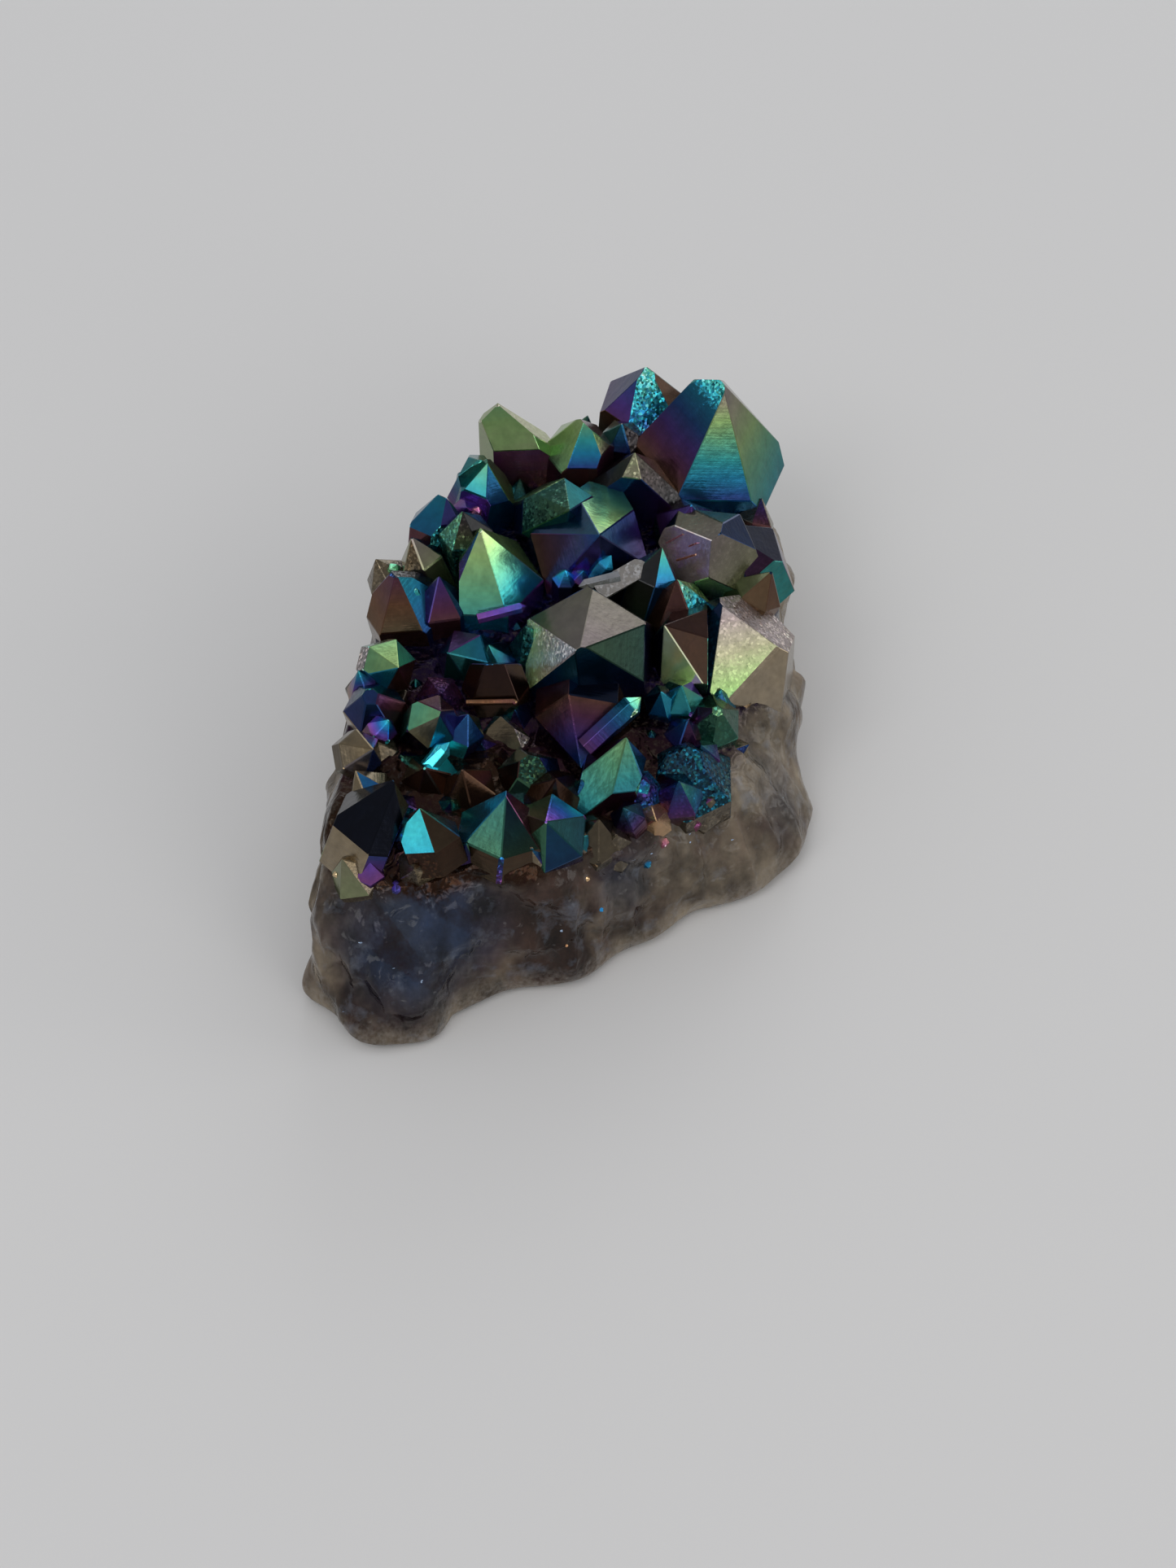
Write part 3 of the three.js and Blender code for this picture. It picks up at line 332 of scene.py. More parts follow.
# %% The outline, as pairs of a place on the foot and a place on the rim
OUTLINE = [
    ((-24.6, -30), (-22.8, -27, 20)), ((-26, -40), (-24.2, -34, 20.5)),
    ((-27.3, -45.6), (-24.2, -40, 18.5)), ((-23.4, -49), (-21.2, -42.6, 18.5)),
    ((-17.6, -52.6), (-17.6, -43.6, 18.5)), ((-13, -52), (-12.2, -43, 19)),
    ((-10, -47.4), (-8, -42, 19.5)), ((-2.5, -44.6), (-2, -40.6, 19.5)),
    ((3.5, -43.4), (3.5, -38.8, 18)), ((9.5, -38.6), (9.5, -35.6, 16)),
    ((17, -33.2), (16, -30.6, 15)), ((24.4, -29.8), (20.6, -26, 14)),
    ((30, -23.4), (23.6, -19, 14.5)), ((29.6, -12), (25.4, -10, 16)),
    ((28.8, 3), (26.4, 3, 17)), ((28.6, 14), (26.4, 13, 18)),
    ((25, 27), (22, 23.6, 19)), ((12.5, 31), (11, 27, 20)),
    ((0, 28), (0, 24.6, 20)), ((-9, 22), (-7.6, 19.2, 20)),
    ((-16, 13), (-13.6, 11.2, 20)), ((-20.4, 2), (-17.8, 1.2, 20)),
    ((-22.8, -13), (-20.2, -13, 20)),
]
FOOT = np.array([(x, y, 0) for (x, y), _ in OUTLINE], float)
RIM = np.array([rim for _, rim in OUTLINE], float)
SLAB_CENTRE = np.array([1.0, -12.0, 0.0])
print(len(OUTLINE), "places on the outline")


# %% A smooth closed curve
def on_curve(places, share):
    """A smooth closed curve at shares 0 to 1 of the way round: between two places it is a cubic whose
    end slopes come from the neighbours, each step weighted by the square root of its length."""
    along = np.asarray(share) * len(places)
    start = np.floor(along).astype(int)
    a, b, c, d = (places[(start + step) % len(places)] for step in (-1, 0, 1, 2))
    before, step, after = (np.linalg.norm(q - p, axis=-1, keepdims=True) ** 0.5
                           for p, q in ((a, b), (b, c), (c, d)))
    slope_in = ((b - a) / before - (c - a) / (before + step) + (c - b) / step) * step
    slope_out = ((c - b) / step - (d - b) / (step + after) + (d - c) / after) * step
    t = (along - start)[..., None]
    curl = 2 * (b - c) + slope_in + slope_out
    bend = 3 * (c - b) - 2 * slope_in - slope_out
    return b + t * (slope_in + t * (bend + t * curl))


def even_share(places, share, steps=200):
    """The share of the curve's own measure that lies at a share of its length."""
    marks = on_curve(places, np.arange(steps + 1) / steps)
    lengths = np.concatenate([[0], np.cumsum(np.linalg.norm(np.diff(marks, axis=0), axis=1))])
    return np.interp(share * lengths[-1], lengths, np.arange(steps + 1) / steps)


rim_loop = on_curve(RIM, even_share(RIM, np.linspace(0, 1, 400)))
print("rim, mm round:", np.linalg.norm(np.diff(rim_loop, axis=0), axis=1).sum().round(1))

# %% The height of the crust
CROWN = 20.5  # height of the crust at the slab's middle
FALL_SLOPE, FALL_START = 0.1, 4  # the crust falls toward the right from this x on,
CORNER_SLOPE, CORNER_START, CORNER_TURN = 0.08, 12, 0.2  # and more toward the front right
HOLLOW_AT, HOLLOW_RADIUS, HOLLOW_DEPTH = (3, -29), 7, 2.5
CRUST_WAVES, WAVE_RATE = 0.7, 1.6  # height of the crust's own waves, and how close they lie


def wander(x, y, z):
    """A smooth wander between -1 and 1: a sum of three plane waves, sin(k . x + phase)."""
    first = np.sin(0.43 * x + 0.31 * y + 0.52 * z)
    second = np.sin(-0.27 * x + 0.61 * y - 0.38 * z + 1.7)
    third = np.sin(0.74 * x - 0.22 * y + 0.83 * z + 4.1)
    return (first + second + 0.7 * third) / 2.7


def crust_height(x, y):
    """The crust's height at (x, y): level at the left, falling away to the right and the front right, with
    a hollow of depth * exp(-(distance / radius)^2) near the front."""
    corner_fall = CORNER_SLOPE * np.maximum(0, x - CORNER_TURN * y - CORNER_START)
    fall = FALL_SLOPE * np.maximum(0, x - FALL_START) + corner_fall
    distance = np.hypot(x - HOLLOW_AT[0], y - HOLLOW_AT[1])
    hollow = HOLLOW_DEPTH * np.exp(-(distance / HOLLOW_RADIUS) ** 2)
    return CROWN - fall - hollow + CRUST_WAVES * wander(WAVE_RATE * x, WAVE_RATE * y, 3)


print("crust at the slab's middle, mm:", crust_height(*SLAB_CENTRE[:2]).round(1))


# %% Where small points go
def random_source(seed, ranges):
    """A repeatable random source: state = (state * 1664525 + 1013904223) modulo 2^32. It draws a number
    in the named range."""
    state = seed

    def draw(title):
        nonlocal state
        state = (state * 1664525 + 1013904223) % 2 ** 32
        low, high = ranges[title]
        return low + (high - low) * state / 2 ** 32
    return draw


def outward_angle(x, y):
    """The azimuth of (x, y) seen from the slab's centre, in degrees."""
    return np.degrees(np.arctan2(y - SLAB_CENTRE[1], x - SLAB_CENTRE[0]))


def inside_rim(x, y):
    """True where a level line from (x, y) crosses the rim's polygon an odd number of times."""
    ahead = np.roll(RIM, -1, axis=0)
    spans = (RIM[:, 1] > y) != (ahead[:, 1] > y)
    crossing = (ahead[:, 0] - RIM[:, 0]) * (y - RIM[:, 1]) / (ahead[:, 1] - RIM[:, 1] + 1e-12) + RIM[:, 0]
    return np.count_nonzero(spans & (x < crossing)) % 2 == 1


print("the slab's middle is inside the rim:", bool(inside_rim(*SLAB_CENTRE[:2])))

# %% The points round the rim
RIM_COUNT, RIM_SEED, RIM_DEPTH = 34, 11, 11  # depth in millimetres
RIM_RANGES = {"slip": (0, 0.6), "reach": (-1, 0.4), "rise": (0, 3.6), "lean": (28, 52), "swing": (-20, 20),
              "turn": (0, 60), "width": (3.4, 6.2)}
BARE_CORNER = (7, -24)  # the rim's points right of this x and in front of this y are nearly bare
NEARLY_BARE, THEIR_MILK = 0.9, 0.6


def rim_points():
    """Small points spaced round the rim, each leaning outward."""
    draw, points = random_source(RIM_SEED, RIM_RANGES), []
    for number in range(RIM_COUNT):
        place = on_curve(RIM, even_share(RIM, (number + draw("slip")) / RIM_COUNT))
        angle = outward_angle(place[0], place[1])
        tip = place + looking_to(angle) * draw("reach")
        tip[2] += draw("rise")
        bare = place[0] > BARE_CORNER[0] and place[1] < BARE_CORNER[1]
        points.append(point(f"rim point {number}", tip, draw("lean"), angle + draw("swing"), draw("turn"),
                            draw("width"), depth=RIM_DEPTH, bare=NEARLY_BARE * bare,
                            milky=THEIR_MILK if bare else None))
    return points


RIM_POINTS = rim_points()
print(len(RIM_POINTS), "points round the rim")

# %% The low points between the others
FIELD_X, FIELD_Y = np.arange(-21, 24.001, 5.8), np.arange(-40, 24.001, 5.8)
FIELD_SEED, FIELD_DEPTH = 29, 9
FIELD_RANGES = {"slip": (-2, 2), "rise": (0.8, 2.8), "lean": (0, 24), "swing": (-70, 70), "turn": (0, 60),
                "width": (3.6, 6)}


def field_points():
    """Low points on a jittered grid over the crust, leaning a little outward."""
    draw, points = random_source(FIELD_SEED, FIELD_RANGES), []
    for grid_x, grid_y in itertools.product(FIELD_X, FIELD_Y):
        x, y = grid_x + draw("slip"), grid_y + draw("slip")
        tip = (x, y, crust_height(x, y) + draw("rise"))
        new = point(f"low point {len(points)}", tip, draw("lean"), outward_angle(x, y) + draw("swing"),
                    draw("turn"), draw("width"), depth=FIELD_DEPTH)
        if inside_rim(x, y):
            points.append(new)
    return points


FIELD_POINTS = field_points()
print(len(FIELD_POINTS), "low points between the others")

# %% Glints and slivers
# the glints' light is a painted highlight: these tiny crystals are painted bright as glints
GLINT_PLACES = [  # crystals of a millimetre or two in the walls: (tip, lean, toward, width, value, light)
    ((5, -39.9, 15.3), 59, -43, 1.7, 1.3, 2), ((2.4, -43.5, 7.4), 74, -71, 1.3, 1.8, 2),
    ((6.5, -41.2, 11), 84, -51, 1.9, 5.6, 1.5), ((9.4, -37, 15.1), 78, -42, 2, 12, 1.4),
    ((11.8, -35.6, 11.8), 88, -65, 2.2, 5.8, 0.8), ((-2.8, -42.9, 18.1), 78, -88, 1.4, 10.4, 1.8),
    ((-1.4, -43, 17.1), 78, -80, 1.2, 12, 2), ((-12.8, -46.6, 15), 68, -88, 1.5, 6.4, 1),
    ((-9.8, -46.3, 11.7), 80, -65, 1.4, 6, 1), ((-13.7, -50, 8.7), 68, -65, 1.3, 6.4, 1.2),
    ((-23.9, -42, 18.6), 77, -154, 1.4, 1.2, 1.8), ((-16.7, -44.2, 18.5), 52, -93, 1.7, 4.6, 1.6),
    ((17.6, -31, 14), 60, -60, 2.4, 3.2, 1.6), ((13.6, -34.5, 14.5), 65, -70, 1.4, 2.8, 1.8),
    ((-8.1, 6.3, 27), 50, -60, 1.2, 3.2, 2), ((-18.6, -0.6, 24.6), 40, -120, 1.4, 8.2, 1.6),
]
# the slivers' light is a painted highlight too
SLIVER_PLACES = [  # thin crystals that grew flat on a face: (tip, lean, toward, width, length, value, light)
    ((16.2, 2.6, 27.3), 40, -29, 0.2, 3.9, 2.5, 3), ((17.5, -0.1, 26.5), 46, -34, 0.26, 3.8, 2.2, 3.4),
    ((18, 0.4, 28.2), 43, -31, 0.18, 2.4, 2.4, 3), ((3.6, -6.4, 27.7), 89, 200, 1.3, 5, 12, 0.9),
]
GLINT_TURN, GLINT_DEPTH, SLIVER_TURN = 17, 3, 11
TIP_DROP, WALL_FOOT_DROP = 0.4, 1  # how much thinner a glint's film is at the foot of its tips and walls
GLINTS = [point(f"glint {number}", tip, lean, toward, GLINT_TURN * number, width, depth=GLINT_DEPTH,
                tips=all_six(value, value - TIP_DROP, light),
                walls=all_six(value - TIP_DROP, value - WALL_FOOT_DROP, light))
          for number, (tip, lean, toward, width, value, light) in enumerate(GLINT_PLACES)]
SLIVERS = [point(f"sliver {number}", tip, lean, toward, SLIVER_TURN, width, depth=length,
                 tips=all_six(value, value, light), walls=all_six(value, value, light))
           for number, (tip, lean, toward, width, length, value, light) in enumerate(SLIVER_PLACES)]
print(len(GLINTS), "glints and", len(SLIVERS), "slivers")

# %% [markdown]
# ## From measures to faces
# A crystal is what is left when space is cut by its planes: six walls, six tip faces, its buried end, the
# table that the stone lies on, and any breaks. A corner is a place where three planes meet and that no
# other plane cuts off. The real edges are never knife sharp: the film catches light along them, and here
# and there one is nicked. So every edge gets one more plane that takes off a few hundredths of a
# millimetre, and some corners get one that takes off a flake. Blender's bevel would do it too, but it
# stops at the shortest edge, and a plane doesn't.

# %% The planes of a crystal
FIRST_TIP, BURIED, TABLE = 6, 12, 13  # the numbers of some planes: the walls are 0 to 5


def planes_of(crystal):
    """The planes, as outward normals n and offsets d with n . x <= d inside: walls, tip faces, buried end,
    table, breaks."""
    lean = leaning(crystal["toward"], crystal["lean"])
    axis = lean[:, 2]
    walls = looking_to(crystal["turn"] + 60.0 * np.arange(6)) @ lean.T
    tips = np.cos(TIP_FACE_TILT) * axis + np.sin(TIP_FACE_TILT) * walls
    apex = crystal["tip"]
    longer = max(0, -crystal["set"].min())
    breaks = [looking_to(azimuth, elevation) for azimuth, elevation, _ in crystal["chips"]]
    normals = np.array([*walls, *tips, -axis, (0, 0, -1.0), *breaks])
    offsets = np.concatenate([
        walls @ apex + crystal["sides"] * crystal["width"] / 2,
        tips @ apex - crystal["set"] * np.cos(TIP_FACE_TILT),
        [-axis @ apex + crystal["depth"] - longer, 0.0],
        [normal @ apex - below for normal, (_, _, below) in zip(breaks, crystal["chips"])]])
    return normals, offsets, axis


example = planes_of(NAMED_POINTS[0])
print(NAMED_POINTS[0]["name"], "is cut by", len(example[0]), "planes")

# %% The corners of a crystal
LEAST_MEETING = 1e-4  # three planes with a smaller determinant are too near parallel to meet in a corner
SLACK = 1e-6  # how far past a plane a corner may seem to lie, mm, because numbers are rounded
SAME_SPOT = 4  # corners that agree to this many decimals are one


def corners_of(normals, offsets):
    """The corners: every meeting of three planes, N x = d, that lies inside all the others."""
    threes = np.array(list(itertools.combinations(range(len(normals)), 3)))
    meet = np.abs(np.linalg.det(normals[threes])) > LEAST_MEETING
    places = np.linalg.solve(normals[threes[meet]], offsets[threes[meet]][..., None])[..., 0]
    kept = places[(places @ normals.T <= offsets + SLACK).all(1)]
    return np.unique(kept.round(SAME_SPOT), axis=0)


print(NAMED_POINTS[0]["name"], "has", len(corners_of(*example[:2])), "corners before wear")

# %% Worn edges and flakes
ON_PLANE = 2e-3  # a corner this near a plane lies on it, mm
EDGE_WEAR = (0.015, 0.05)  # how much an edge has lost, mm
MOST_FLAKES, FLAKE_DEPTH, FLAKE_SWING = 7, (0.04, 0.22), 0.25
FLAKE_SLANT = 0.9  # a flake never lies closer to a face than this cosine, so it stays small
FLAKE = -1  # stands for the number of a face where a flake came off


def unit(vector):
    """The vector divided by its length."""
    return vector / np.linalg.norm(vector)


def worn_planes(crystal, rng):
    """Adds the wear: a narrow plane along each edge and a flake off some corners. Returns the normals, the
    offsets, the axis, for each plane the number of the face whose film it shows, and for each face the
    heights of its upper and lower end."""
    normals, offsets, axis = planes_of(crystal)
    corners = corners_of(normals, offsets)
    touches = np.abs(corners @ normals.T - offsets) < ON_PLANE
    shared = touches.T.astype(int) @ touches.astype(int)
    edges = [(a, b) for a, b in np.argwhere(np.triu(shared >= 2, 1)) if not {a, b} & {BURIED, TABLE}]
    owner = list(range(len(normals)))
    new_normals, new_offsets = [], []
    for a, b in edges:
        normal = unit(normals[a] + normals[b])
        place = corners[touches[:, a] & touches[:, b]][0]
        new_normals.append(normal)
        new_offsets.append(normal @ place - rng.uniform(*EDGE_WEAR))
        owner.append(a if rng.random() < 0.5 else b)
    upper = corners[(crystal["tip"] - corners) @ axis < crystal["width"]]
    for place in upper[rng.permutation(len(upper))[:MOST_FLAKES]]:
        near = np.abs(normals @ place - offsets) < ON_PLANE
        normal = unit(normals[near].mean(0) + rng.normal(0, FLAKE_SWING, 3))
        if (normals @ normal).max() < FLAKE_SLANT:
            new_normals.append(normal)
            new_offsets.append((corners @ normal).max() - rng.uniform(*FLAKE_DEPTH))
            owner.append(FLAKE)
    height = corners @ axis
    ends = [(height[on].max(), height[on].min()) if on.any() else (0, 0) for on in touches.T]
    return np.vstack([normals, *new_normals]), np.append(offsets, new_offsets), axis, owner, ends


worn_example = worn_planes(NAMED_POINTS[0], np.random.default_rng(1))
print("with wear it is cut by", len(worn_example[0]), "planes")

# %% [markdown]
# ## The film on each face
# Each corner of a face carries four numbers: how far down the face it lies, the film's value at the top
# and at the foot of the face, and how bare it is. The material blends them, so the colour runs smoothly
# down a face and still changes sharply from one face to the next, as the film does on the real stone.
# A second set says how rough and how lined the face is, how bright it is painted, which is a painted light
# or shade, and how milky its bare stone is. A third gives the place on the face in millimetres, across and
# down, because growth lines run across a face and not along it.

# %% The film of one crystal
THICKEST = 12  # the film's largest value
THIN_SHARE = 0.75  # how many points at the stone's edge have a thin film
THIN_FILM = ((0.3, 1.4), (0.2, 0.8), (0.4, 0.7))  # ranges of the value at the top, its drop and the painted light or shade
THICK_FILM = ((4.5, 8.6), (0.6, 3.4), (0.12, 0.4))
USUAL_ROUGH, LEAST_TIP, LEAST_WALL = 0.15, 0.2, 0.4
WALL_DROP, WALL_PAINTED_SHADE = 3.5, 0.4  # how much thinner a wall's film is at its foot, and its painted shade, darker than a tip face
END_FILM, BREAK_FILM = (0.2, 0, 0.6, 0.5), (7.5, 8.5, 0.4, 0.6)
WALL_LINES, TIP_LINES = 1.0, 0.45  # how clear the growth lines are


def usual_tip(rng, edge):
    """The film of a tip face that has no values of its own. At the stone's edge it is mostly thin."""
    ranges = THIN_FILM if edge and rng.random() < THIN_SHARE else THICK_FILM
    top, drop, light = (rng.uniform(*limits) for limits in ranges)
    return top, max(LEAST_TIP, top - drop), light, USUAL_ROUGH


def films_of(crystal, rng):
    """One row for each plane: (value at the top, value at the foot, light, rough, lines, bare), where light
    is a painted light or shade.
    """
    edge = crystal["name"].startswith("rim")
    tips = [crystal["tips"].get(k, usual_tip(rng, edge)) for k in range(6)]
    walls = [crystal["walls"].get(k, (foot, max(LEAST_WALL, foot - WALL_DROP), WALL_PAINTED_SHADE))
             for k, (_, foot, *_) in enumerate(tips)]
    breaks = [crystal["breaks"].get(k, BREAK_FILM) for k in range(len(crystal["chips"]))]
    rows = [(*row, 0)[:4] for row in (*walls, *tips, END_FILM, END_FILM, *breaks)]
    lines = [WALL_LINES] * 6 + [TIP_LINES] * 6 + [0.0] * (2 + len(breaks))
    return np.column_stack([rows, lines, [crystal["bare"]] * len(rows)])


print("film of one face:", films_of(NAMED_POINTS[0], np.random.default_rng(1))[FIRST_TIP])

# %% The faces of one crystal
ON_FACE = 1.5e-3  # a corner of the worn crystal this near a plane lies on it, mm
WALL_FADE = 6.0  # how far down a wall the film runs from its upper value to its lower one, mm
LEAST_FADE = 0.3  # the same for a face that has almost no height
FLAKE_PAINTED_HIGHLIGHT = 1.3  # a painted highlight: how much brighter a flake is painted than a tip face
MILKY_SPREAD = (-0.2, 0.2)
LAYER = 7.0  # each face takes its growth lines from its own layer of the pattern


def face_axes(axis, normal):
    """The level line across a face, axis x normal, and the line down it, normal x across. A hair of
    another line stands in where the face lies square to the axis."""
    across = unit(np.cross(axis, normal) + 1e-9 * np.cross(normal, (1, 0.3, 0.2)))
    return across, np.cross(normal, across)


def crystal_faces(crystal, rng):
    """Cuts one crystal. Returns its corners and, for each face, its ring of corner numbers and its coat,
    finish and grain numbers. Down a face the film falls as (height of its top - height) / span."""
    normals, offsets, axis, owner, ends = worn_planes(crystal, rng)
    corners = corners_of(normals, offsets)
    films, height = films_of(crystal, rng), corners @ axis
    faces, coats, finishes, grains = [], [], [], []
    for shown, normal, offset in zip(owner, normals, offsets):
        ring = np.flatnonzero(np.abs(corners @ normal - offset) < ON_FACE)
        if len(ring) < 3:
            continue
        across, down = face_axes(axis, normal)
        spread = corners[ring] - corners[ring].mean(0)
        ring = ring[np.argsort(np.arctan2(spread @ down, spread @ -across))][::-1]
        top, foot, light, rough, lines, bare = films[FIRST_TIP if shown == FLAKE else shown]
        high, low = ends[shown]
        if shown == FLAKE:  # a flake is rougher and painted brighter as a highlight, and its film falls from its own top
            light, rough, high = light * FLAKE_PAINTED_HIGHLIGHT, 1.0, height[ring].max()
        face = max(shown, 0)
        span = WALL_FADE if face < FIRST_TIP else max(high - low, LEAST_FADE)
        fall = np.clip((high - height[ring]) / span, 0, 1)
        milky = rng.random() if crystal["milky"] is None else crystal["milky"] + rng.uniform(*MILKY_SPREAD)
        place, same = corners[ring] - crystal["tip"], np.ones(len(ring))
        faces.append(ring)
        coats.append(np.column_stack([fall, same * top / THICKEST, same * foot / THICKEST, same * bare]))
        finishes.append(np.outer(same, (rough, lines, light, milky)))
        grains.append(np.column_stack([place @ across, place @ down, same * LAYER * face]))
    return corners, faces, np.vstack(coats), np.vstack(finishes), np.vstack(grains)


sample = crystal_faces(NAMED_POINTS[0], np.random.default_rng(1))
print(NAMED_POINTS[0]["name"], "has", len(sample[1]), "faces after wear")


# %% Putting surfaces into a mesh
def make_piece(name, places, loops, attributes, smooth=False):
    """A mesh object from places in millimetres in the slab's frame and rings of corner numbers.
    `attributes` maps a name to (kind, domain, numbers)."""
    mesh = bpy.data.meshes.new(name)
    mesh.from_pydata((places - STONE_SHIFT) * MILLIMETRE, [], loops)
    for title, (kind, domain, numbers) in attributes.items():
        layer = mesh.attributes.new(title, kind, domain)
        layer.data.foreach_set("color" if kind == "FLOAT_COLOR" else "vector",
                               np.ascontiguousarray(numbers, np.float32).ravel())
    mesh.polygons.foreach_set("use_smooth", np.full(len(mesh.polygons), smooth))
    mesh.update()
    piece = bpy.data.objects.new(name, mesh)
    bpy.context.scene.collection.objects.link(piece)
    triangles = sum(len(polygon.vertices) - 2 for polygon in mesh.polygons)
    print(name, "triangles:", triangles, "size, mm:", [round(side * 1000, 1) for side in piece.dimensions])
    return piece


def make_crystals(name, crystals, seed):
    """All the crystals of a piece in one mesh. Each is closed, and they grow into one another."""
    rng = np.random.default_rng(seed)
    made = [crystal_faces(crystal, rng) for crystal in crystals]
    starts = np.cumsum([0] + [len(corners) for corners, *_ in made])
    places = np.vstack([corners for corners, *_ in made])
    loops = [[int(start + number) for number in ring] for start, (_, faces, *_) in zip(starts, made)
             for ring in faces]
    coat, finish, grain = (np.vstack([part[column] for part in made]) for column in (2, 3, 4))
    # the finish numbers are rough, lined, the painted light or shade, and milky
    return make_piece(name, places, loops, {
        "coat": ("FLOAT_COLOR", "CORNER", coat), "finish": ("FLOAT_COLOR", "CORNER", finish),
        "grain": ("FLOAT_VECTOR", "CORNER", grain)})


all_points = NAMED_POINTS + RIM_POINTS + FIELD_POINTS + GLINTS + SLIVERS
points_piece = make_crystals("coated_points", all_points, seed=5)

# %% [markdown]
# ## The broken slab
# The slab under the points was broken off a larger plate. Glassy quartz breaks in shallow scoops with
# sharp ridges between them, and milky quartz adds fine steps. A sculpted rock with smooth noise would look
# like a pebble, so the walls are a fine grid pushed in by scoops: at each place only the deepest of the
# overlapping bowls counts, which leaves a crisp ridge wherever two bowls meet.

# %% The slab's grid
COLUMNS, CRUST_ROWS, WALL_ROWS = 520, 14, 54
CRUST_REACH = (0.2, 0.97)  # the first and last crust rows, as shares of the way to the rim
WALL_CURVE = 0.9  # below 1 the wall runs out faster near the rim
BULGE, LUMP = 1.1, 1.3  # how far the walls swell and wander
FOOT_LIFT, BASE_SHARE = 1.4, 0.94  # the height of the rounded foot, and how far in it ends
FOOT_TURNS, BASE_ROWS = (22, 45, 68, 90), (0.9, 0.75, 0.5, 0.2)
RIM_PULL = 3  # the higher it is, the nearer the rim the crust takes up the rim's height
RIB_WIDTH, RIB_DEPTH, RIB_SWAY, SWAY_RATE = 5.8, 1.3, 0.4, 0.23
RIB_EDGE, RIB_MEAN = 0.35, 0.25  # where in its width a rib is deepest, and the zigzag's middle


def slab_rows():
    """Rows of the grid from the middle of the crust to the middle of the underside. Crust rows go out
    from the middle to the rim, wall rows go down from the rim to the foot, and base rows go back in.
    The walls carry flat ribs, a zigzag of the length along the foot: the flanks of prisms that grew
    side by side."""
    share = np.arange(COLUMNS) / COLUMNS
    foot, rim = on_curve(FOOT, share), on_curve(RIM, share)
    outward = foot - SLAB_CENTRE
    outward /= np.linalg.norm(outward, axis=1, keepdims=True)
    length = np.cumsum(np.linalg.norm(np.diff(foot, axis=0, prepend=foot[-1:]), axis=1))
    ribs = np.abs((length / RIB_WIDTH + RIB_SWAY * np.sin(SWAY_RATE * length)) % 1 - RIB_EDGE) - RIB_MEAN
    rows = []
    for out in np.linspace(*CRUST_REACH, CRUST_ROWS):
        row = SLAB_CENTRE + (rim - SLAB_CENTRE) * out
        pull = out ** RIM_PULL
        row[:, 2] = crust_height(row[:, 0], row[:, 1]) * (1 - pull) + rim[:, 2] * pull
        rows.append(row)
    for down in np.linspace(0, 1, WALL_ROWS):
        row = rim + (foot - rim) * down ** WALL_CURVE
        row[:, 2] = rim[:, 2] * (1 - down) + FOOT_LIFT * down
        swell = BULGE * np.sin(np.pi * down) + LUMP * wander(*row.T)
        rows.append(row + outward * (swell + RIB_DEPTH * np.sin(np.pi * down) * ribs)[:, None])
    edge = rows[-1]
    inner = SLAB_CENTRE + (foot - SLAB_CENTRE) * BASE_SHARE
    for turn in np.radians(FOOT_TURNS):
        rows.append(edge + (inner - edge) * np.array([1 - np.cos(turn), 1 - np.cos(turn), np.sin(turn)]))
    return np.array(rows + [SLAB_CENTRE + (foot - SLAB_CENTRE) * out for out in BASE_ROWS]), outward

# %% Scoops in the slab
SCOOPS = ((230, 2.4, 6.0, 0.19), (420, 0.9, 2.2, 0.2))  # (count, least and largest radius, depth / radius)
SCOOP_JITTER = 0.3  # how far a scoop's centre strays, mm
SCOOP_SHARE = (0.4, 1)  # the range of a scoop's depth, as a share of the deepest that its radius allows
BLOCK = 60  # scoops worked out at a time, to save memory
PROUD = 0.8  # the surface starts this far out and is scooped back, mm
STILL, ON_STONE = 2.0, 0.5  # heights below which the scoops fade out, and below which none is centred, mm
DOWN_ON_CRUST, DOWN_ON_WALL = 1.5, 0.15  # how steeply the scoops push down
RIPPLE, RIPPLE_RATE = 0.04, 3.1


def scoops(places, centres, radii, depths):
    """How deep the scoops are at each place: the largest of depth * (1 - (distance / radius)^2)."""
    deepest = np.zeros(len(places))
    for first in range(0, len(centres), BLOCK):
        block = slice(first, first + BLOCK)
        distance = np.linalg.norm(places[:, None] - centres[None, block], axis=2)
        bowls = depths[block] * (1 - (distance / radii[block]) ** 2)
        deepest = np.maximum(deepest, bowls.max(1))
    return deepest


def break_surface(rows, outward, seed):
    """Moves the walls and the crust by (PROUD - scoops + ripple), and leaves the flat underside alone."""
    rng = np.random.default_rng(seed)
    places = rows.reshape(-1, 3)
    on_stone = places[places[:, 2] > ON_STONE]
    hollow = np.zeros(len(places))
    for count, least, most, share in SCOOPS:
        centres = on_stone[rng.integers(len(on_stone), size=count)] + rng.normal(0, SCOOP_JITTER, (count, 3))
        radii = rng.uniform(least, most, count)
        hollow += scoops(places, centres, radii, radii * share * rng.uniform(*SCOOP_SHARE, count))
    along = np.tile(outward, (len(rows), 1))
    on_crust = np.repeat(np.arange(len(rows)) < CRUST_ROWS, COLUMNS)
    along[:, 2] = np.where(on_crust, DOWN_ON_CRUST, DOWN_ON_WALL)
    push = PROUD - hollow + RIPPLE * wander(*(places * RIPPLE_RATE).T)
    push = push * np.clip(places[:, 2] / STILL, 0, 1)
    return (places + along * push[:, None]).reshape(rows.shape), hollow.reshape(rows.shape[:2])


slab_grid, hollow = break_surface(*slab_rows(), seed=17)
slab_grid[..., 2] = np.maximum(slab_grid[..., 2], 0)
print("slab grid:", slab_grid.shape[:2], "deepest scoop, mm:", hollow.max().round(2))


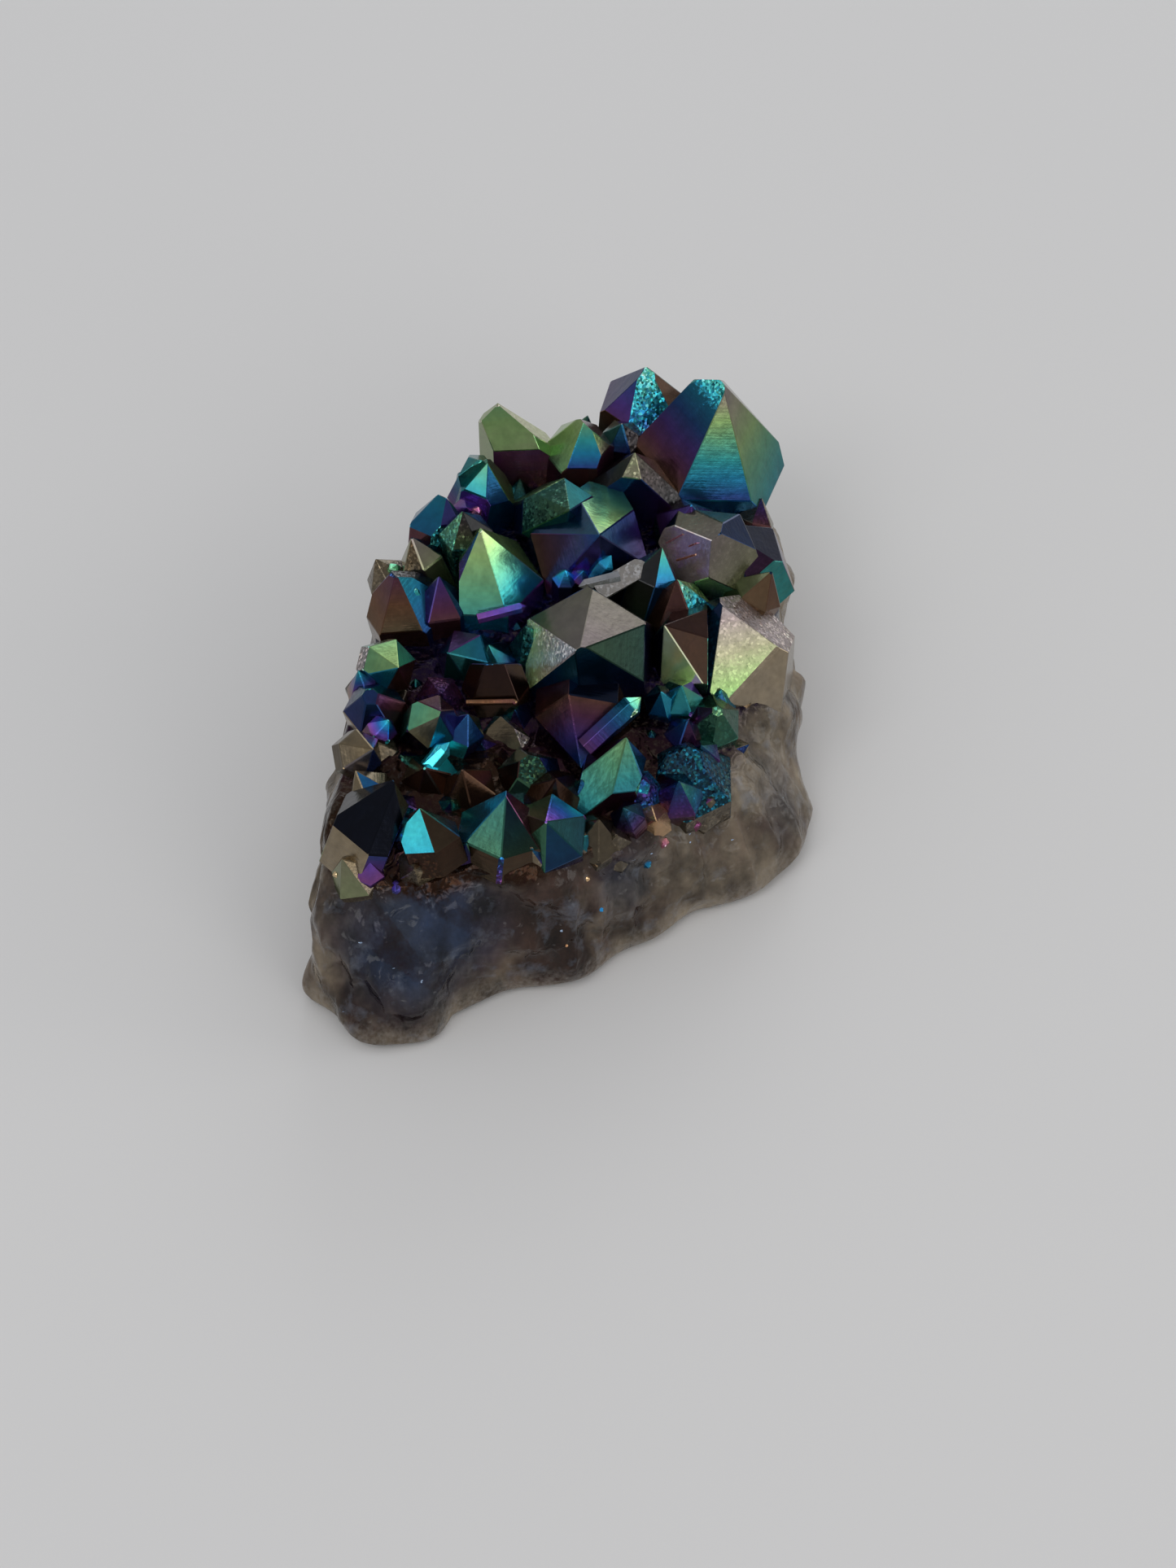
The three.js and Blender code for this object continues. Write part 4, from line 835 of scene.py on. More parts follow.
# %% The slab's faces
def ring_grid(rows):
    """Faces of a grid whose rows close on themselves, with a fan at the first row and at the last."""
    row_count, column_count = rows.shape[:2]
    number = np.arange(row_count * column_count).reshape(row_count, column_count)
    ahead = np.roll(number, -1, axis=1)
    quads = np.stack([number[:-1], number[1:], ahead[1:], ahead[:-1]], -1).reshape(-1, 4)
    first, last = row_count * column_count, row_count * column_count + 1
    fans = [[first, int(a), int(b)] for a, b in zip(number[0], ahead[0])]
    fans += [[last, int(b), int(a)] for a, b in zip(number[-1], ahead[-1])]
    return quads.tolist() + fans


print("faces of the slab:", len(ring_grid(slab_grid)))

# %% The slab's stone, and the film that reached it
PATCHES = {  # patches on the front: (centre, radius, how slate-blue)
    "left lobe": ((-14, -48, 14), 13, 1.3), "right corner": ((27, -22, 8), 7, 0.5),
    "hollow": ((9, -37, 12), 6, 0.7)}
MILK = {"everywhere": 0.08, "right": 0.6, "foot": 0.5, "back": 0.35, "left end": 0.3}
MILKY_RIGHT, MILKY_LEFT = (4, 16), (-21, -25)  # x where the milk starts and where it is full, mm
PALE_FOOT = 4.5  # height up to which the foot is paler, mm
RIM_HEIGHT, COVERED = 18.5, 1.6  # the rim at the left, and how far below it the film reaches, mm
COVER_FADE = 1.3  # above 1 the film thins faster below the rim
CRUST_VALUE = (2.1, 2.2, 0.5)  # the film's value at the front, its rise toward the back, and its wander
CRUST_RISE = (-30, -10)  # y where that rise starts and ends, mm
CRUST_PAINTED_SHADE = (0.07, 0.04)  # the film's painted shade, dark as if the crust lay in shade between the points, and its wander
VALUE_RATE, PAINTED_SHADE_RATE, GAP_RATE = 0.7, 1.3, 1.1  # how fast each of them wanders
LOBE_FILM, LOBE_GAP = 0.35, 0.2  # how much film the left lobe has, and where its wander leaves gaps


def patch(places, title):
    """1 at the centre of a round patch, falling to 0 at its radius: (1 - (distance / radius)^2)^1.5."""
    centre, radius, _ = PATCHES[title]
    distance = np.linalg.norm(places - np.array(centre), axis=1) / radius
    return np.clip(1 - distance ** 2, 0, 1) ** 1.5


def climb(place, start, end):
    """0 before the start, 1 past the end, and straight between: (place - start) / (end - start)."""
    return np.clip((place - start) / (end - start), 0, 1)


def milkiness(x, y, near_foot):
    """How milky the bare stone is: smoky at the front left, milky at the right, the back and the foot."""
    return (MILK["everywhere"] + MILK["right"] * climb(x, *MILKY_RIGHT) + MILK["foot"] * near_foot
            + MILK["back"] * (y > 0) + MILK["left end"] * climb(x, *MILKY_LEFT))


def slab_numbers(places):
    """What the slab shows at each place: how milky, how blue and how pale the stone is, and the film's
    value, painted shade and amount. The film covers the crust, thins down the walls, and lies in a few
    patches."""
    x, y, z = places.T
    rim_height = RIM_HEIGHT - FALL_SLOPE * np.maximum(0, x - FALL_START)
    cover = np.clip(1 - (rim_height - z) / COVERED, 0, 1) ** COVER_FADE
    near_foot = np.clip(1 - z / PALE_FOOT, 0, 1)
    slate = np.clip(sum(PATCHES[title][2] * patch(places, title) for title in PATCHES), 0, 1)
    front, rise, change = CRUST_VALUE
    value = front + rise * climb(y, *CRUST_RISE) + change * wander(*(places * VALUE_RATE).T)
    # the film's light is a painted shade, dark between the points, with a slow wander
    light = CRUST_PAINTED_SHADE[0] + CRUST_PAINTED_SHADE[1] * wander(*(places * PAINTED_SHADE_RATE).T)
    on_lobe = LOBE_FILM * patch(places, "left lobe") * (wander(*(places * GAP_RATE).T) > LOBE_GAP)
    amount = np.clip(cover + on_lobe, 0, 1)
    one = np.ones(len(x))
    return (np.column_stack([milkiness(x, y, near_foot), slate, near_foot, one]),
            np.column_stack([value / THICKEST, light, amount, one]))


slab_places = np.vstack([slab_grid.reshape(-1, 3), slab_grid[0].mean(0), slab_grid[-1].mean(0)])
slab_stone, slab_film = slab_numbers(slab_places)
slab_piece = make_piece("milky_slab", slab_places, ring_grid(slab_grid), {
    "stone": ("FLOAT_COLOR", "POINT", slab_stone),
    "film": ("FLOAT_COLOR", "POINT", slab_film)}, smooth=True)

# %% [markdown]
# ## How a finish is written
# A finish is a net of nodes: patterns, sums and blends that end in one shader. Such a net can be drawn with
# the mouse, but this one has more than a hundred nodes, and most of them only add or multiply. So a few
# helpers stand for them, and a finish can be read like arithmetic.


# %% Nodes as arithmetic
def feed(target, part):
    """Joins a socket to an input, or sets the input to a plain number, vector or colour."""
    if isinstance(part, bpy.types.NodeSocket):
        part.id_data.links.new(part, target)
    else:
        target.default_value = (*part, 1) if target.type == "RGBA" else part


def add_node(tree, kind, **settings):
    """Adds a shader node. A setting whose name is a property is set as one, and any other is an input."""
    node = tree.nodes.new("ShaderNode" + kind)
    for title, setting in settings.items():
        if hasattr(node, title):
            setattr(node, title, setting)
        else:
            feed(node.inputs[title], setting)
    return node


def tree_of(*parts):
    """The node tree that the sockets among the parts belong to."""
    return next(part.id_data for part in parts if isinstance(part, bpy.types.NodeSocket))


def maths(kind, *parts, clamp=False):
    """A Math node on sockets or plain numbers. Returns its output."""
    node = add_node(tree_of(*parts), "Math", operation=kind, use_clamp=clamp)
    for socket, part in zip(node.inputs, parts):
        feed(socket, part)
    return node.outputs[0]


def plus(first, second, clamp=False):
    """first + second, kept between 0 and 1 where `clamp` says so."""
    return maths("ADD", first, second, clamp=clamp)


def minus(first, second):
    """first - second."""
    return maths("SUBTRACT", first, second)


def times(first, second, clamp=False):
    """first * second."""
    return maths("MULTIPLY", first, second, clamp=clamp)


def times_plus(first, gain, shift, clamp=False):
    """first * gain + shift."""
    return maths("MULTIPLY_ADD", first, gain, shift, clamp=clamp)


print("number helpers:", ", ".join(helper.__name__ for helper in (plus, minus, times, times_plus)))


# %% Nodes for vectors and colours
def vector_maths(kind, first, second=None):
    """A Vector Math node. Returns its output."""
    node = add_node(tree_of(first, second), "VectorMath", operation=kind)
    feed(node.inputs[0], first)
    if second is not None:
        feed(node.inputs["Scale" if kind == "SCALE" else 1], second)
    return node.outputs[0]


def mix_colours(share, first, second):
    """Blends two colours by a share. Sockets or plain colours both do."""
    node = add_node(tree_of(share, first, second), "Mix", data_type="RGBA")
    for socket, part in zip((node.inputs[0], node.inputs[6], node.inputs[7]), (share, first, second)):
        feed(socket, part)
    return node.outputs[2]


print("vector and colour helpers:", vector_maths.__name__, "and", mix_colours.__name__)

# %% [markdown]
# ## The film's colours
# A thin film has no pigment. Light that bounces off its top and light that bounces off the quartz below it
# add up or cancel, and which colours win depends on the thickness. A shader could work that out from the
# thickness and the angle, but then the colour would slide over the stone as the viewer moves, and an
# exported model would lose it. So the order of the colours is laid out once, on a colour ramp, and
# each face reads its place on the ramp from the numbers it carries.

# %% The order of the colours
FILM_COLOURS = [
    (0, (0.28, 0.24, 0.19)), (1, (0.33, 0.25, 0.14)), (2, (0.38, 0.17, 0.08)), (3, (0.25, 0.07, 0.17)),
    (4, (0.15, 0.07, 0.40)), (5, (0.03, 0.12, 0.42)), (6, (0.02, 0.32, 0.56)), (7, (0.05, 0.48, 0.48)),
    (8, (0.18, 0.58, 0.33)), (9, (0.45, 0.72, 0.26)), (10, (0.54, 0.53, 0.33)), (11, (0.48, 0.39, 0.38)),
    (12, (0.32, 0.33, 0.35)),
]


def film_colour(value):
    """The colour of the film whose value, as a share of the thickest, is in the socket."""
    ramp = add_node(value.id_data, "ValToRGB")
    elements = ramp.color_ramp.elements
    while len(elements) < len(FILM_COLOURS):
        elements.new(0.5)
    for element, (step, colour) in zip(elements, FILM_COLOURS):
        element.position, element.color = step / THICKEST, (*colour, 1)
    feed(ramp.inputs[0], value)
    return ramp.outputs["Color"]


print(len(FILM_COLOURS), "colours in the order of the film")

# %% [markdown]
# ## Coated quartz
# One finish serves the whole stone, because bare and coated quartz run into each other. Where the film is,
# the surface reflects in its own colour, as a metal does, and each face carries a painted light or shade
# that makes it brighter or darker as a whole. Where it is bare, the stone is milky and a little
# translucent. Growth lines, shallow hillocks and etched grain are far too fine for the mesh, so they
# are bumps, and the same patterns shift the film a little, because a step in the stone changes the film.
# The grit and the hillocks also make the painted light uneven, and etched grain is painted with glitter.


# %% The patterns on a face
def noise(place, scale, detail=3.0, roughness=0.55):
    """A cloudy pattern around 0.5, with `scale` lumps for each millimetre."""
    node = add_node(place.id_data, "TexNoise", Vector=place, Scale=scale, Detail=detail, Roughness=roughness)
    return node.outputs["Fac"]


def centred(value, amount):
    """(value - 0.5) * amount."""
    return times(minus(value, 0.5), amount)


def stretched(vector, scale):
    """The vector with each of its parts multiplied."""
    return vector_maths("MULTIPLY", vector, scale)


def split(colour):
    """The three parts of a colour, each on its own socket."""
    return add_node(colour.id_data, "SeparateColor", Color=colour).outputs


def cells_of(place, scale, **settings):
    """A Voronoi pattern: every place belongs to the nearest of many random centres."""
    return add_node(place.id_data, "TexVoronoi", Vector=place, Scale=scale, **settings).outputs


def bumps(heights):
    """A normal with bumps on bumps, from the largest to the finest: (height, reach in metres, strength)."""
    normal = None
    for height, reach, strength in heights:
        node = add_node(height.id_data, "Bump", Height=height, Distance=reach, Strength=strength)
        if normal:
            feed(node.inputs["Normal"], normal)
        normal = node.outputs[0]
    return normal


print("patterns:", ", ".join(pattern.__name__ for pattern in (noise, cells_of, bumps)))

# %% A new finish
TO_MILLIMETRES = (1000, 1000, 1000)
QUARTZ_IOR = 1.54


def set_inputs(shader, parts):
    """Feeds the named inputs of a shader."""
    for title, part in parts.items():
        feed(shader.inputs[title], part)


def new_finish(name):
    """A new material, its node tree, its shader and the place on the stone in millimetres."""
    material = bpy.data.materials.new(name)
    material.use_nodes = True
    tree = material.node_tree
    place = stretched(add_node(tree, "TexCoord").outputs["Object"], TO_MILLIMETRES)
    return material, tree, tree.nodes["Principled BSDF"], place


print("how strongly quartz bends light:", QUARTZ_IOR)

# %% The film on a face
BAND_START, BAND_SLOPE, RAGGED_BAND = 2.0, -9.0, 0.35
BAND_PAINTED_GLITTER = 5.0  # painted glitter: how much brighter an etched band is painted
DRIFT_IN_FALL = 0.24  # how unevenly the film runs down a face
DRIFT_SHIFT, LINE_SHIFT, CELL_SHIFT, GRIT_SHIFT = 0.05, 0.06, 0.09, 0.12  # shares of the thickest film
# painted glitter: on an etched face a few cells are painted far brighter and the others darker
SPARKLE_POWER, SPARKLE, GRAIN_PAINTED_SHADE = 5.0, 5.0, 0.45
# how strongly a face's painted light or shade shows
PAINTED_LIGHT_POWER = 1.2
# the grit and the hillocks make the painted light uneven
GRIT_IN_PAINTED_LIGHT, HILLOCK_PAINTED_SHADE = (0.5, 0.75), (0.7, 0.65)  # (gain, shift), around 1 at the pattern's middle


def etched_band(fall, rough, grit):
    """Where `rough` is below 0: 1 near the face's top, with a ragged lower edge, and 0 further down. It is
    start + slope * (fall + grit), kept between 0 and 1."""
    band = times_plus(plus(fall, centred(grit, RAGGED_BAND)), BAND_SLOPE, BAND_START, clamp=True)
    return times(band, times(rough, -1.0, clamp=True))


def film_on_face(numbers, patterns, band):
    """The film's colour. Its value is top + (foot - top) * fall, shifted a little by the patterns. Its
    light is a painted light or shade: the face's own number, made uneven by the grit and the hillocks
    and, where it is etched, raised by painted glitter in the cells and in the band at its top."""
    fall = plus(numbers["fall"], centred(patterns["drift"], DRIFT_IN_FALL), clamp=True)
    value = plus(numbers["top"], times(minus(numbers["foot"], numbers["top"]), fall))
    value = plus(value, centred(patterns["drift"], DRIFT_SHIFT))
    value = plus(value, times(centred(patterns["lines"], LINE_SHIFT), numbers["lined"]))
    tint, sparkle, _ = split(patterns["cells"])
    value = plus(value, times(numbers["rough"], centred(tint, CELL_SHIFT)))
    value = plus(value, times(numbers["rough"], centred(patterns["grit"], GRIT_SHIFT)), clamp=True)
    # painted glitter on etched grain, then the face's painted light or shade, multiplied into the colour
    painted_glitter = times_plus(maths("POWER", sparkle, SPARKLE_POWER), SPARKLE, GRAIN_PAINTED_SHADE)
    light = maths("POWER", numbers["light"], PAINTED_LIGHT_POWER)
    for uneven in (times_plus(minus(painted_glitter, 1), numbers["rough"], 1), times_plus(band, BAND_PAINTED_GLITTER, 1.0),
                   times_plus(patterns["grit"], *GRIT_IN_PAINTED_LIGHT),
                   times_plus(patterns["hillocks"], *HILLOCK_PAINTED_SHADE)):
        light = times(light, uneven)
    return vector_maths("SCALE", film_colour(value), light)


print("an etched band reaches", round(-BAND_START / BAND_SLOPE, 2), "of the way down its face")

# %% The stone under the film
SMOKY, MILKY = (0.026, 0.014, 0.010), (0.19, 0.155, 0.11)  # the stone itself, dark and cloudy
SEAM_BROWN, PALE_GRAIN = (0.075, 0.045, 0.036), (0.45, 0.42, 0.37)
CLOUDS, SEAMS = (0.3, 6, 0.62), (1.0, 5)  # (lumps for each millimetre, detail, roughness)
CLOUD_CONTRAST, SEAM_STRETCH, SEAM_SHARE, GRAIN_SHARE = 1.7, (0.5, 0.5, 0.16), 0.6, 0.4
SEAM_CUT, GRAIN_CUT = (4.0, -2.1), (9.0, -5.6)  # (gain, shift): a high gain gives a pattern sharp edges
RAGGED_FILM, FILM_CUT = 1.4, (1.6, -0.3)  # how much the grit breaks up the film's edge, and how sharply


def bare_stone(place, milky, grit):
    """Milky clouds in darker glass, brown seams and pale grains."""
    clouds = noise(place, *CLOUDS)
    stone = mix_colours(plus(milky, centred(clouds, CLOUD_CONTRAST), clamp=True), SMOKY, MILKY)
    seams = times_plus(noise(stretched(place, SEAM_STRETCH), *SEAMS), *SEAM_CUT, clamp=True)
    stone = mix_colours(times(seams, SEAM_SHARE), stone, SEAM_BROWN)
    return mix_colours(times(times_plus(grit, *GRAIN_CUT, clamp=True), GRAIN_SHARE), stone, PALE_GRAIN)


def film_kept(bare, grit):
    """1 where the film is whole and 0 where it is gone. Between, it breaks up over the grit, because
    grit * bare * (1 - bare) is added to how bare the face is."""
    broken = plus(bare, times(centred(grit, RAGGED_FILM), times(bare, minus(1, bare))))
    return minus(1, times_plus(broken, *FILM_CUT, clamp=True))


print("quartz, smoky and milky:", SMOKY, MILKY)

# %% The finish of the points
DRIFT, GRIT, LINES, HILLOCKS = (0.22,), (1.6, 5), (1.0, 4), (1.0, 2)  # (lumps for each millimetre, detail)
GLITTER_CELLS = 3.4  # for each millimetre
LINE_STRETCH, HILLOCK_STRETCH = (0.12, 3.2, 1), (0.5, 0.35, 1)  # across the face, down it, between faces
FILM_METALLIC, COAT_WEIGHT, COAT_ROUGHNESS = 0.88, 0.06, 0.08
SATIN, ETCHED_DULL, BARE_DULL = 0.2, 0.16, 0.14  # the film's roughness, and what etching and loss add
UNEVEN_GLOSS, GRIT_ON_FACE = 0.1, (0.9, 0.1)  # the second is (gain, shift): a clean face has little grit
HILLOCK_BUMP, LINE_BUMP, GRIT_BUMP = (0.00012, 0.35), (0.00006, 0.5), (0.00025, 0.7)  # (metres, strength)
GLITTER_TILT = 0.9


def glitter(normal, cells, rough):
    """Etched grain: every tiny cell leans the normal its own way, by (its colour - 0.5) * rough."""
    lean = vector_maths("SCALE", vector_maths("SUBTRACT", cells, (0.5, 0.5, 0.5)), times(rough, GLITTER_TILT))
    return vector_maths("NORMALIZE", vector_maths("ADD", normal, lean))


def coated_quartz(name):
    """The film over milky quartz, led by the coat, finish and grain numbers of each face."""
    material, tree, shader, place = new_finish(name)
    coat, finish, grain = (add_node(tree, "Attribute", attribute_name=title).outputs
                           for title in ("coat", "finish", "grain"))
    numbers = dict(zip(("fall", "top", "foot"), split(coat["Color"])))
    numbers.update(zip(("rough", "lined", "light"), split(finish["Color"])))
    patterns = {
        "drift": noise(place, *DRIFT), "grit": noise(place, *GRIT),
        "lines": noise(stretched(grain["Vector"], LINE_STRETCH), *LINES),
        "hillocks": noise(stretched(grain["Vector"], HILLOCK_STRETCH), *HILLOCKS),
        "cells": cells_of(place, GLITTER_CELLS)["Color"]}
    grit, hillocks = patterns["grit"], patterns["hillocks"]
    band = etched_band(numbers["fall"], numbers["rough"], grit)
    rough = numbers["rough"] = maths("MAXIMUM", numbers["rough"], band)
    kept = film_kept(coat["Alpha"], grit)
    stone = bare_stone(place, finish["Alpha"], grit)
    gloss = plus(times_plus(rough, ETCHED_DULL, SATIN), times(minus(1, kept), BARE_DULL))
    normal = bumps([(hillocks, *HILLOCK_BUMP), (times(patterns["lines"], numbers["lined"]), *LINE_BUMP),
                    (times(grit, times_plus(rough, *GRIT_ON_FACE)), *GRIT_BUMP)])
    set_inputs(shader, {
        "Base Color": mix_colours(kept, stone, film_on_face(numbers, patterns, band)),
        "Metallic": times(kept, FILM_METALLIC),
        "Roughness": plus(gloss, centred(hillocks, UNEVEN_GLOSS), clamp=True),
        "IOR": QUARTZ_IOR, "Coat Weight": COAT_WEIGHT, "Coat Roughness": COAT_ROUGHNESS,
        "Normal": glitter(normal, patterns["cells"], rough)})
    return material


points_piece.data.materials.append(coated_quartz("coated_quartz"))
print("finish of the points:", points_piece.data.materials[0].name)

# %% [markdown]
# ## Broken quartz
# Quartz breaks like thick glass: in shallow bowls that meet in sharp ridges, with faint rings inside each
# bowl. The nearest-point distance of a cell pattern has just that shape, so it is used twice as a bump, in
# large bowls and in small ones. A slow random push bends the pattern first, so that no ridge runs straight.
# Clear places look dark, because the eye sees into them, and milky ones look pale.

# %% The stone of the slab
# the pale blue veil colour is partly milky veils in the stone and partly a painted sheen
SLAB_BROWN, SLATE, VEIL_AND_SHEEN = (0.052, 0.028, 0.022), (0.009, 0.020, 0.045), (0.22, 0.26, 0.33)
# the pale blue fleck colour is a painted glint
PAINTED_GLINT, PALER_FOOT_COLOUR = (0.42, 0.55, 0.75), (0.30, 0.27, 0.24)
BEND_LUMPS, BEND = 0.25, (5, 5, 5)  # lumps for each millimetre, and the push in millimetres
FLECK_STRETCH, FLECK_CELLS, FLECK_RARITY, FLECK_REACH = (0.5, 1.0, 1.6), 0.9, 0.95, 0.14
RAGGED_FLECK = 0.6
SLAB_SEAMS, DEPTHS, VEIL_AND_SHEEN_NOISE = (1.0, 2), (0.24, 4, 0.6), (0.35, 4, 0.6)  # (lumps, detail, roughness)
SLAB_SEAM_STRETCH, DEPTH_STRETCH, DEPTH_CONTRAST = (0.3, 0.3, 0.1), (1, 1, 0.7), 4.5
SLAB_SEAM_CUT, VEIL_AND_SHEEN_CUT = (4.0, -2.0), (5.0, -2.8)  # (gain, shift)
DEPTH_IN_MILK = (-0.6, 1.1)  # (gain, shift): milky stone shows less of its depth
USUAL_TONE, DARKEST, SLATE_SHARE, VEIL_AND_SHEEN_SHARE = 1.03, 0.3, 0.85, 0.3


def bent_place(place):
    """The place after a slow random push of a few millimetres."""
    push = add_node(place.id_data, "TexNoise", Vector=place, Scale=BEND_LUMPS, Detail=2.0).outputs["Color"]
    return vector_maths("ADD", place, stretched(push, BEND))


def painted_glint_share(bent, grit):
    """1 on a few small ragged flecks that are painted as glints, and 0 elsewhere."""
    cells = cells_of(stretched(bent, FLECK_STRETCH), FLECK_CELLS)
    chosen = maths("GREATER_THAN", split(cells["Color"])[0], FLECK_RARITY)
    ragged = plus(cells["Distance"], centred(grit, RAGGED_FLECK))
    return times(chosen, maths("LESS_THAN", ragged, FLECK_REACH))


def slab_colour(place, milky, share, slate):
    """Smoky glass with milk in it, brown seams, a slate-blue sheen, dark places that the eye sees into, and
    thin pale veils that are partly milk in the stone and partly a painted sheen."""
    colour = mix_colours(share, SMOKY, MILKY)
    seams = times_plus(noise(stretched(place, SLAB_SEAM_STRETCH), *SLAB_SEAMS), *SLAB_SEAM_CUT, clamp=True)
    colour = mix_colours(times(seams, SEAM_SHARE), colour, SLAB_BROWN)
    colour = mix_colours(times(slate, SLATE_SHARE), colour, SLATE)
    depths = noise(stretched(place, DEPTH_STRETCH), *DEPTHS)
    seen = times(centred(depths, DEPTH_CONTRAST), times_plus(milky, *DEPTH_IN_MILK))
    colour = vector_maths("SCALE", colour, maths("MAXIMUM", plus(seen, USUAL_TONE), DARKEST))
    # pale veils: partly milk in the stone, partly a painted sheen
    veils_and_sheen = times_plus(noise(place, *VEIL_AND_SHEEN_NOISE), *VEIL_AND_SHEEN_CUT, clamp=True)
    return mix_colours(times(veils_and_sheen, VEIL_AND_SHEEN_SHARE), colour, VEIL_AND_SHEEN)


print("slate, veils and flecks:", SLATE, VEIL_AND_SHEEN, PAINTED_GLINT)

# %% The finish of the slab
LARGE_BOWLS, SMALL_BOWLS, BOWL_BLEND = 0.15, 0.42, 0.3  # cells for each millimetre, and how they blend
LARGE_BUMP, SMALL_BUMP, RING_BUMP, GRIT_LIFT = 0.0007, 0.00035, 0.00001, 0.00004  # metres
RINGS = 55.0  # how closely the rings in a bowl follow each other
SLAB_GRIT, SLAB_MILK, MILK_CONTRAST = (1.8, 5), (0.16, 3, 0.5), 1.8
BOWL_TONE = 0.35  # how unlike the bowls are
PALER_FOOT_SHARE, PALER_FOOT_CUT = 0.7, (3.0, -1.1)  # how pale the foot gets, and how sharp its edge is
GRIT_IN_FILM, RAGGED_COVER = 0.12, 2.4  # how the grit shifts the film's value, and breaks up its edge
FILM_ON_SLAB, SLAB_SPECULAR = 0.8, 0.2  # how metallic the slab's film is, and how much the stone mirrors
GRIT_DULL, MILK_DULL = (0.18, -0.01), 0.1  # the roughness that comes from the grit (gain, shift) and the milk
GLOW, GLOW_REACH, GLOW_SCALE = 0.2, (1.0, 0.8, 0.6), 0.0012  # light that enters the stone and comes out


def broken_quartz(name):
    """Glassy bowls in smoky and milky quartz, with a film where it reached. A bowl's depth goes with the
    square of the distance from its middle, and its rings with the sine of that distance."""
    material, tree, shader, place = new_finish(name)
    stone, film = (add_node(tree, "Attribute", attribute_name=title).outputs["Color"]
                   for title in ("stone", "film"))
    milky, slate, near_foot = split(stone)
    value, light, amount = split(film)
    grit = noise(place, *SLAB_GRIT)
    bent = bent_place(place)
    large, small = (cells_of(bent, cells, feature="SMOOTH_F1", Smoothness=BOWL_BLEND)
                    for cells in (LARGE_BOWLS, SMALL_BOWLS))
    share = plus(milky, centred(noise(place, *SLAB_MILK), MILK_CONTRAST))
    share = plus(share, centred(split(large["Color"])[0], BOWL_TONE), clamp=True)
    # a few flecks painted pale and metallic as glints
    painted_glint = painted_glint_share(bent, grit)
    paler_foot = times(times(near_foot, times_plus(grit, *PALER_FOOT_CUT, clamp=True)), PALER_FOOT_SHARE)
    colour = mix_colours(paler_foot, mix_colours(painted_glint, slab_colour(place, milky, share, slate), PAINTED_GLINT), PALER_FOOT_COLOUR)
    # the film's colour, scaled by its painted shade
    coat = vector_maths("SCALE", film_colour(plus(value, centred(grit, GRIT_IN_FILM), clamp=True)), light)
    kept = plus(amount, times(centred(grit, RAGGED_COVER), amount), clamp=True)
    gloss = plus(times_plus(grit, *GRIT_DULL, clamp=True), times(share, MILK_DULL))
    large_far, small_far = large["Distance"], small["Distance"]
    normal = bumps([
        (maths("POWER", large_far, 2.0), LARGE_BUMP, 1.0), (maths("POWER", small_far, 2.0), SMALL_BUMP, 1.0),
        (maths("SINE", times(large_far, RINGS)), RING_BUMP, 1.0), (grit, GRIT_LIFT, 1.0)])
    set_inputs(shader, {
        "Base Color": mix_colours(kept, colour, coat),
        "Metallic": maths("MAXIMUM", painted_glint, times(kept, FILM_ON_SLAB)), "Roughness": gloss,
        "IOR": QUARTZ_IOR, "Specular IOR Level": SLAB_SPECULAR, "Subsurface Weight": GLOW,
        "Subsurface Radius": GLOW_REACH, "Subsurface Scale": GLOW_SCALE, "Normal": normal})
    return material


slab_piece.data.materials.append(broken_quartz("broken_quartz"))
print("finish of the slab:", slab_piece.data.materials[0].name)

# %% [markdown]
# ## One stone
# The plain solid gives the stone its weight and its collision. The dressed pieces stand for it and ride on
# the same body.

# %% What the pieces stand for
for piece in (points_piece, slab_piece):
    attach(piece, "root")
    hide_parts("amethyst_cluster")
print("two pieces stand for the plain stone")

# %% [markdown]
# ## Floor, light and camera
# A metal film shows what it reflects. In an even white room every face would look alike, so the room is
# a soft grey, with one wide softbox beside the camera, one low at the right and one behind the stone.
# Faces that look at a softbox flash, and the others stay deep. Each face also carries its own painted light
# or shade on top of that. The floor is plain and pale.

# %% The floor
FLOOR_SIZE, FLOOR_COLOUR, FLOOR_ROUGHNESS = 3.0, (0.72, 0.71, 0.70), 0.9
floor_mesh = bpy.data.meshes.new("floor")
half = FLOOR_SIZE / 2
floor_mesh.from_pydata([(-half, -half, 0), (half, -half, 0), (half, half, 0), (-half, half, 0)], [],
                       [(0, 1, 2, 3)])
floor = bpy.data.objects.new("floor", floor_mesh)
bpy.context.scene.collection.objects.link(floor)
floor_paint = bpy.data.materials.new("floor_paint")
floor_paint.use_nodes = True
set_inputs(floor_paint.node_tree.nodes["Principled BSDF"],
           {"Base Color": FLOOR_COLOUR, "Roughness": FLOOR_ROUGHNESS})
floor_mesh.materials.append(floor_paint)
print("floor, m:", FLOOR_SIZE)

